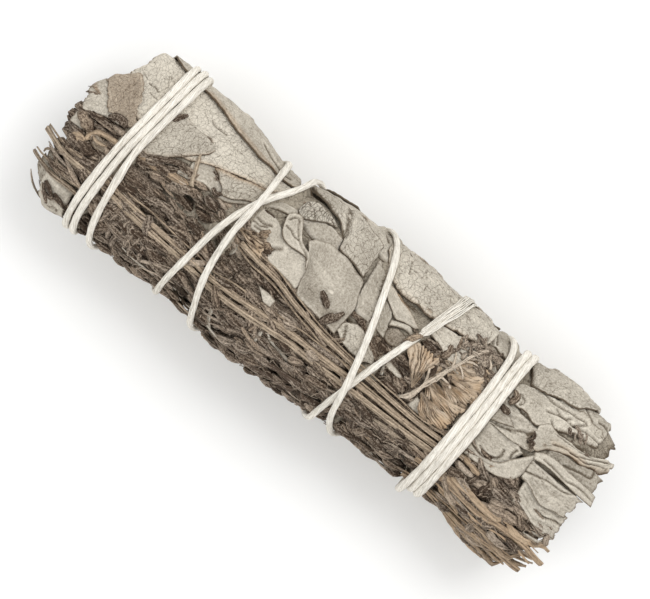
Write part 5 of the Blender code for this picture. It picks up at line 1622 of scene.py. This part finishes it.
# the tip of the withered leaf has come over the string, where the frayed stretch starts
over_string = [(15.4, 14, 0.1), (16.0, 17.5, 0.9), (16.5, 20, 1.45), (17.0, 22.5, 1.35), (17.6, 25, 0.8)]
add_bit("husk", np.array(over_string), 0.62, 0.5, 0.6)
fan(heaps["dried_brown_leaf"], (-22.6, 9), (-24, 24), (8.0, 6.4), 6, 0.3, 77.0, 0.62)
for x, angle in CURLS:
    bend = rng.uniform(15, 50)
    s, rows = run_from(x, angle, 0.0, rng.uniform(-112, -92), bend, rng.uniform(4, 6.5), 12)
    rows = lie_on_pile(rows[:, :2], 0.5, 0.5)
    points, out = path_on(rows, len(rows))
    taper = np.clip(np.linspace(2.5, 0.6, len(rows)), 0, 1)
    tube(heaps["lavender_flower"], points, out, 0.60 * taper, 12, flat=0.6,
         ribs=4, groove=0.35, seed=rng.uniform(0, 90), tone=0.50, brown=0.1, groove_shade=0.6)
for slot, heap in heaps.items():
    heap.piece("loose_" + slot, slot)
    budget[slot] = heap.triangles
print("loose bits, triangles:", sum(budget[slot] for slot in heaps))

# %% [markdown]
# ## The string
# The string is soft cotton, hardly twisted, pressed a little flat where it is tight. One tube makes
# it: its section has shallow lobes that turn as it goes, and it is wider where turns lie side by
# side. On one diagonal the twist has opened. There the tube gets thin and is painted dark, as the
# shade under the eight thin yarns that fan out over it. A few fine fibres stand off the whole string.

# %% String
STRING_STEP = 0.45       # from ring to ring, mm
TWIST_LENGTH = 30        # in which the string's yarns go once round it, mm
PLIES = 8                # yarns side by side where it is frayed
PLY_SPREAD = 1.3         # how far to each side of the middle they lie, mm
PLY_R = 0.14
FIBRES = 220             # single fibres that stand off it
# where strands lie side by side and are pressed flat against each other: from, to, how much wider
BANDS = [(200, -470, 0.18), (-1330, -2230, 0.09), (-3170, -3600, 0.18)]
heap = Heap()
fine = np.linspace(turned[0], turned[-1], round(string_length / MM / STRING_STEP))
x, up = string_at(fine)
points, out = path_on(np.column_stack([x, fine, up]), len(fine))
frayed = (0.62 * ramp(fine, -697, -690) + 0.38 * ramp(fine, -690, -640)) * (1 - ramp(fine, -626, -606))
run = np.arange(len(fine)) * STRING_STEP
snug = sum(wider * ramp(-fine, -start, 40 - start) * (1 - ramp(-fine, -end - 40, -end))
           for start, end, wider in BANDS)
width = STRING_R * (1.04 + snug + 0.09 * rough(run / 5) + 0.04 * rough(run / 1.3, 5.0) - 0.55 * frayed)
# where it is frayed the tube is painted darker, as shade under the yarns
tube(heap, points, out, width, 12, flat=0.80, ribs=6, groove=0.10, twist=2 * math.pi / TWIST_LENGTH,
     tone=0.86 + 0.08 * rough(run / 7, 3.0) - 0.42 * frayed, groove_shade=0.34)
rng = np.random.default_rng(3)
loose = np.flatnonzero(frayed > 0.0)
loose = np.arange(loose[0] - 6, loose[-1] + 7)
for place in np.linspace(-PLY_SPREAD, PLY_SPREAD, PLIES):
    spread = place * frayed[loose] + 0.15 * rough(run[loose] / 3, place * 9) * frayed[loose]
    height = up[loose] + (0.15 * (1.7 - place ** 2) + 0.1) * frayed[loose]
    rows = np.column_stack([x[loose] + spread, fine[loose], height])
    thread(heap, rng, rows, PLY_R, 0.98 + 0.08 * place, 0.0, len(loose), 8)
for _ in range(FIBRES):
    i = rng.integers(5, len(fine) - 20)
    along = i + np.array([0, 4, 8, 12])
    rows = np.column_stack([x[along] + rng.normal(0, 0.25, 4), fine[along], up[along] + STRING_R * 0.8])
    thread(heap, rng, rows, 0.045, 0.8, 0.0, 5, 4)
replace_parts(heap.piece("cotton_string_wound", "cotton_string"), "cotton_string")
budget["cotton_string"] = heap.triangles
print("string, triangles:", heap.triangles, "all pieces:", sum(budget.values()))

# %% [markdown]
# ## Floor, light and camera
# The bundle lies on a plain pale floor under a large soft light from above and a little to the
# sage side, with bright surroundings, as for a catalogue. The camera looks straight down from far
# away with a long lens, turned so that the bundle runs from the upper left to the lower right.

# %% Studio
FLOOR_SIZE = 4           # m
SKY_STRENGTH = 0.92
bpy.ops.mesh.primitive_plane_add(size=FLOOR_SIZE, location=(0, 0, 0))
floor = bpy.context.object
floor.name = "floor"
paper = bpy.data.materials.new("pale_floor")
paper.use_nodes = True
paper_shader = paper.node_tree.nodes["Principled BSDF"]
paper_shader.inputs["Base Color"].default_value = (0.92, 0.92, 0.91, 1)
paper_shader.inputs["Roughness"].default_value = 0.9
floor.data.materials.append(paper)

world = bpy.context.scene.world or bpy.data.worlds.new("studio")
bpy.context.scene.world = world
world.use_nodes = True
sky = world.node_tree.nodes["Background"]
sky.inputs["Color"].default_value = (1, 1, 1, 1)
sky.inputs["Strength"].default_value = SKY_STRENGTH


def soft_light(name, place, size, watts):
    """A square light, aimed at the bundle's middle."""
    lamp = bpy.data.lights.new(name, "AREA")
    lamp.size, lamp.energy = size, watts
    made = bpy.data.objects.new(name, lamp)
    made.location = place
    aim = -np.array(place) + (0, 0, AXIS_Z * MM)
    made.rotation_mode = "QUATERNION"
    made.rotation_quaternion = Vector(aim).to_track_quat("-Z", "Y")
    bpy.context.scene.collection.objects.link(made)


soft_light("key_light", (0.15, 0.45, 0.75), 0.45, 2.9)
soft_light("fill_light", (-0.3, -0.5, 0.8), 0.8, 1.4)

VIEW_WIDTH = 123.5       # how much the frame takes in at the bundle's middle, mm
DISTANCE = 1.2           # from the camera to the bundle's middle, m
SENSOR = 36              # mm
DIAGONAL = (0.6301, 0.7765)      # how far up and along the bundle runs in the frame
camera = bpy.data.cameras.new("camera")
camera.lens = SENSOR * DISTANCE / (VIEW_WIDTH * MM)
view = bpy.data.objects.new("camera", camera)
bpy.context.scene.collection.objects.link(view)
middle = (-1.0 * MM, 0.55 * MM, AXIS_Z * MM)
view.location = (middle[0], middle[1], middle[2] + DISTANCE)
view.rotation_euler = (0, 0, math.atan2(*DIAGONAL))
bpy.context.scene.camera = view
bpy.context.scene.view_settings.view_transform = "Standard"
print("lens, mm:", round(camera.lens))
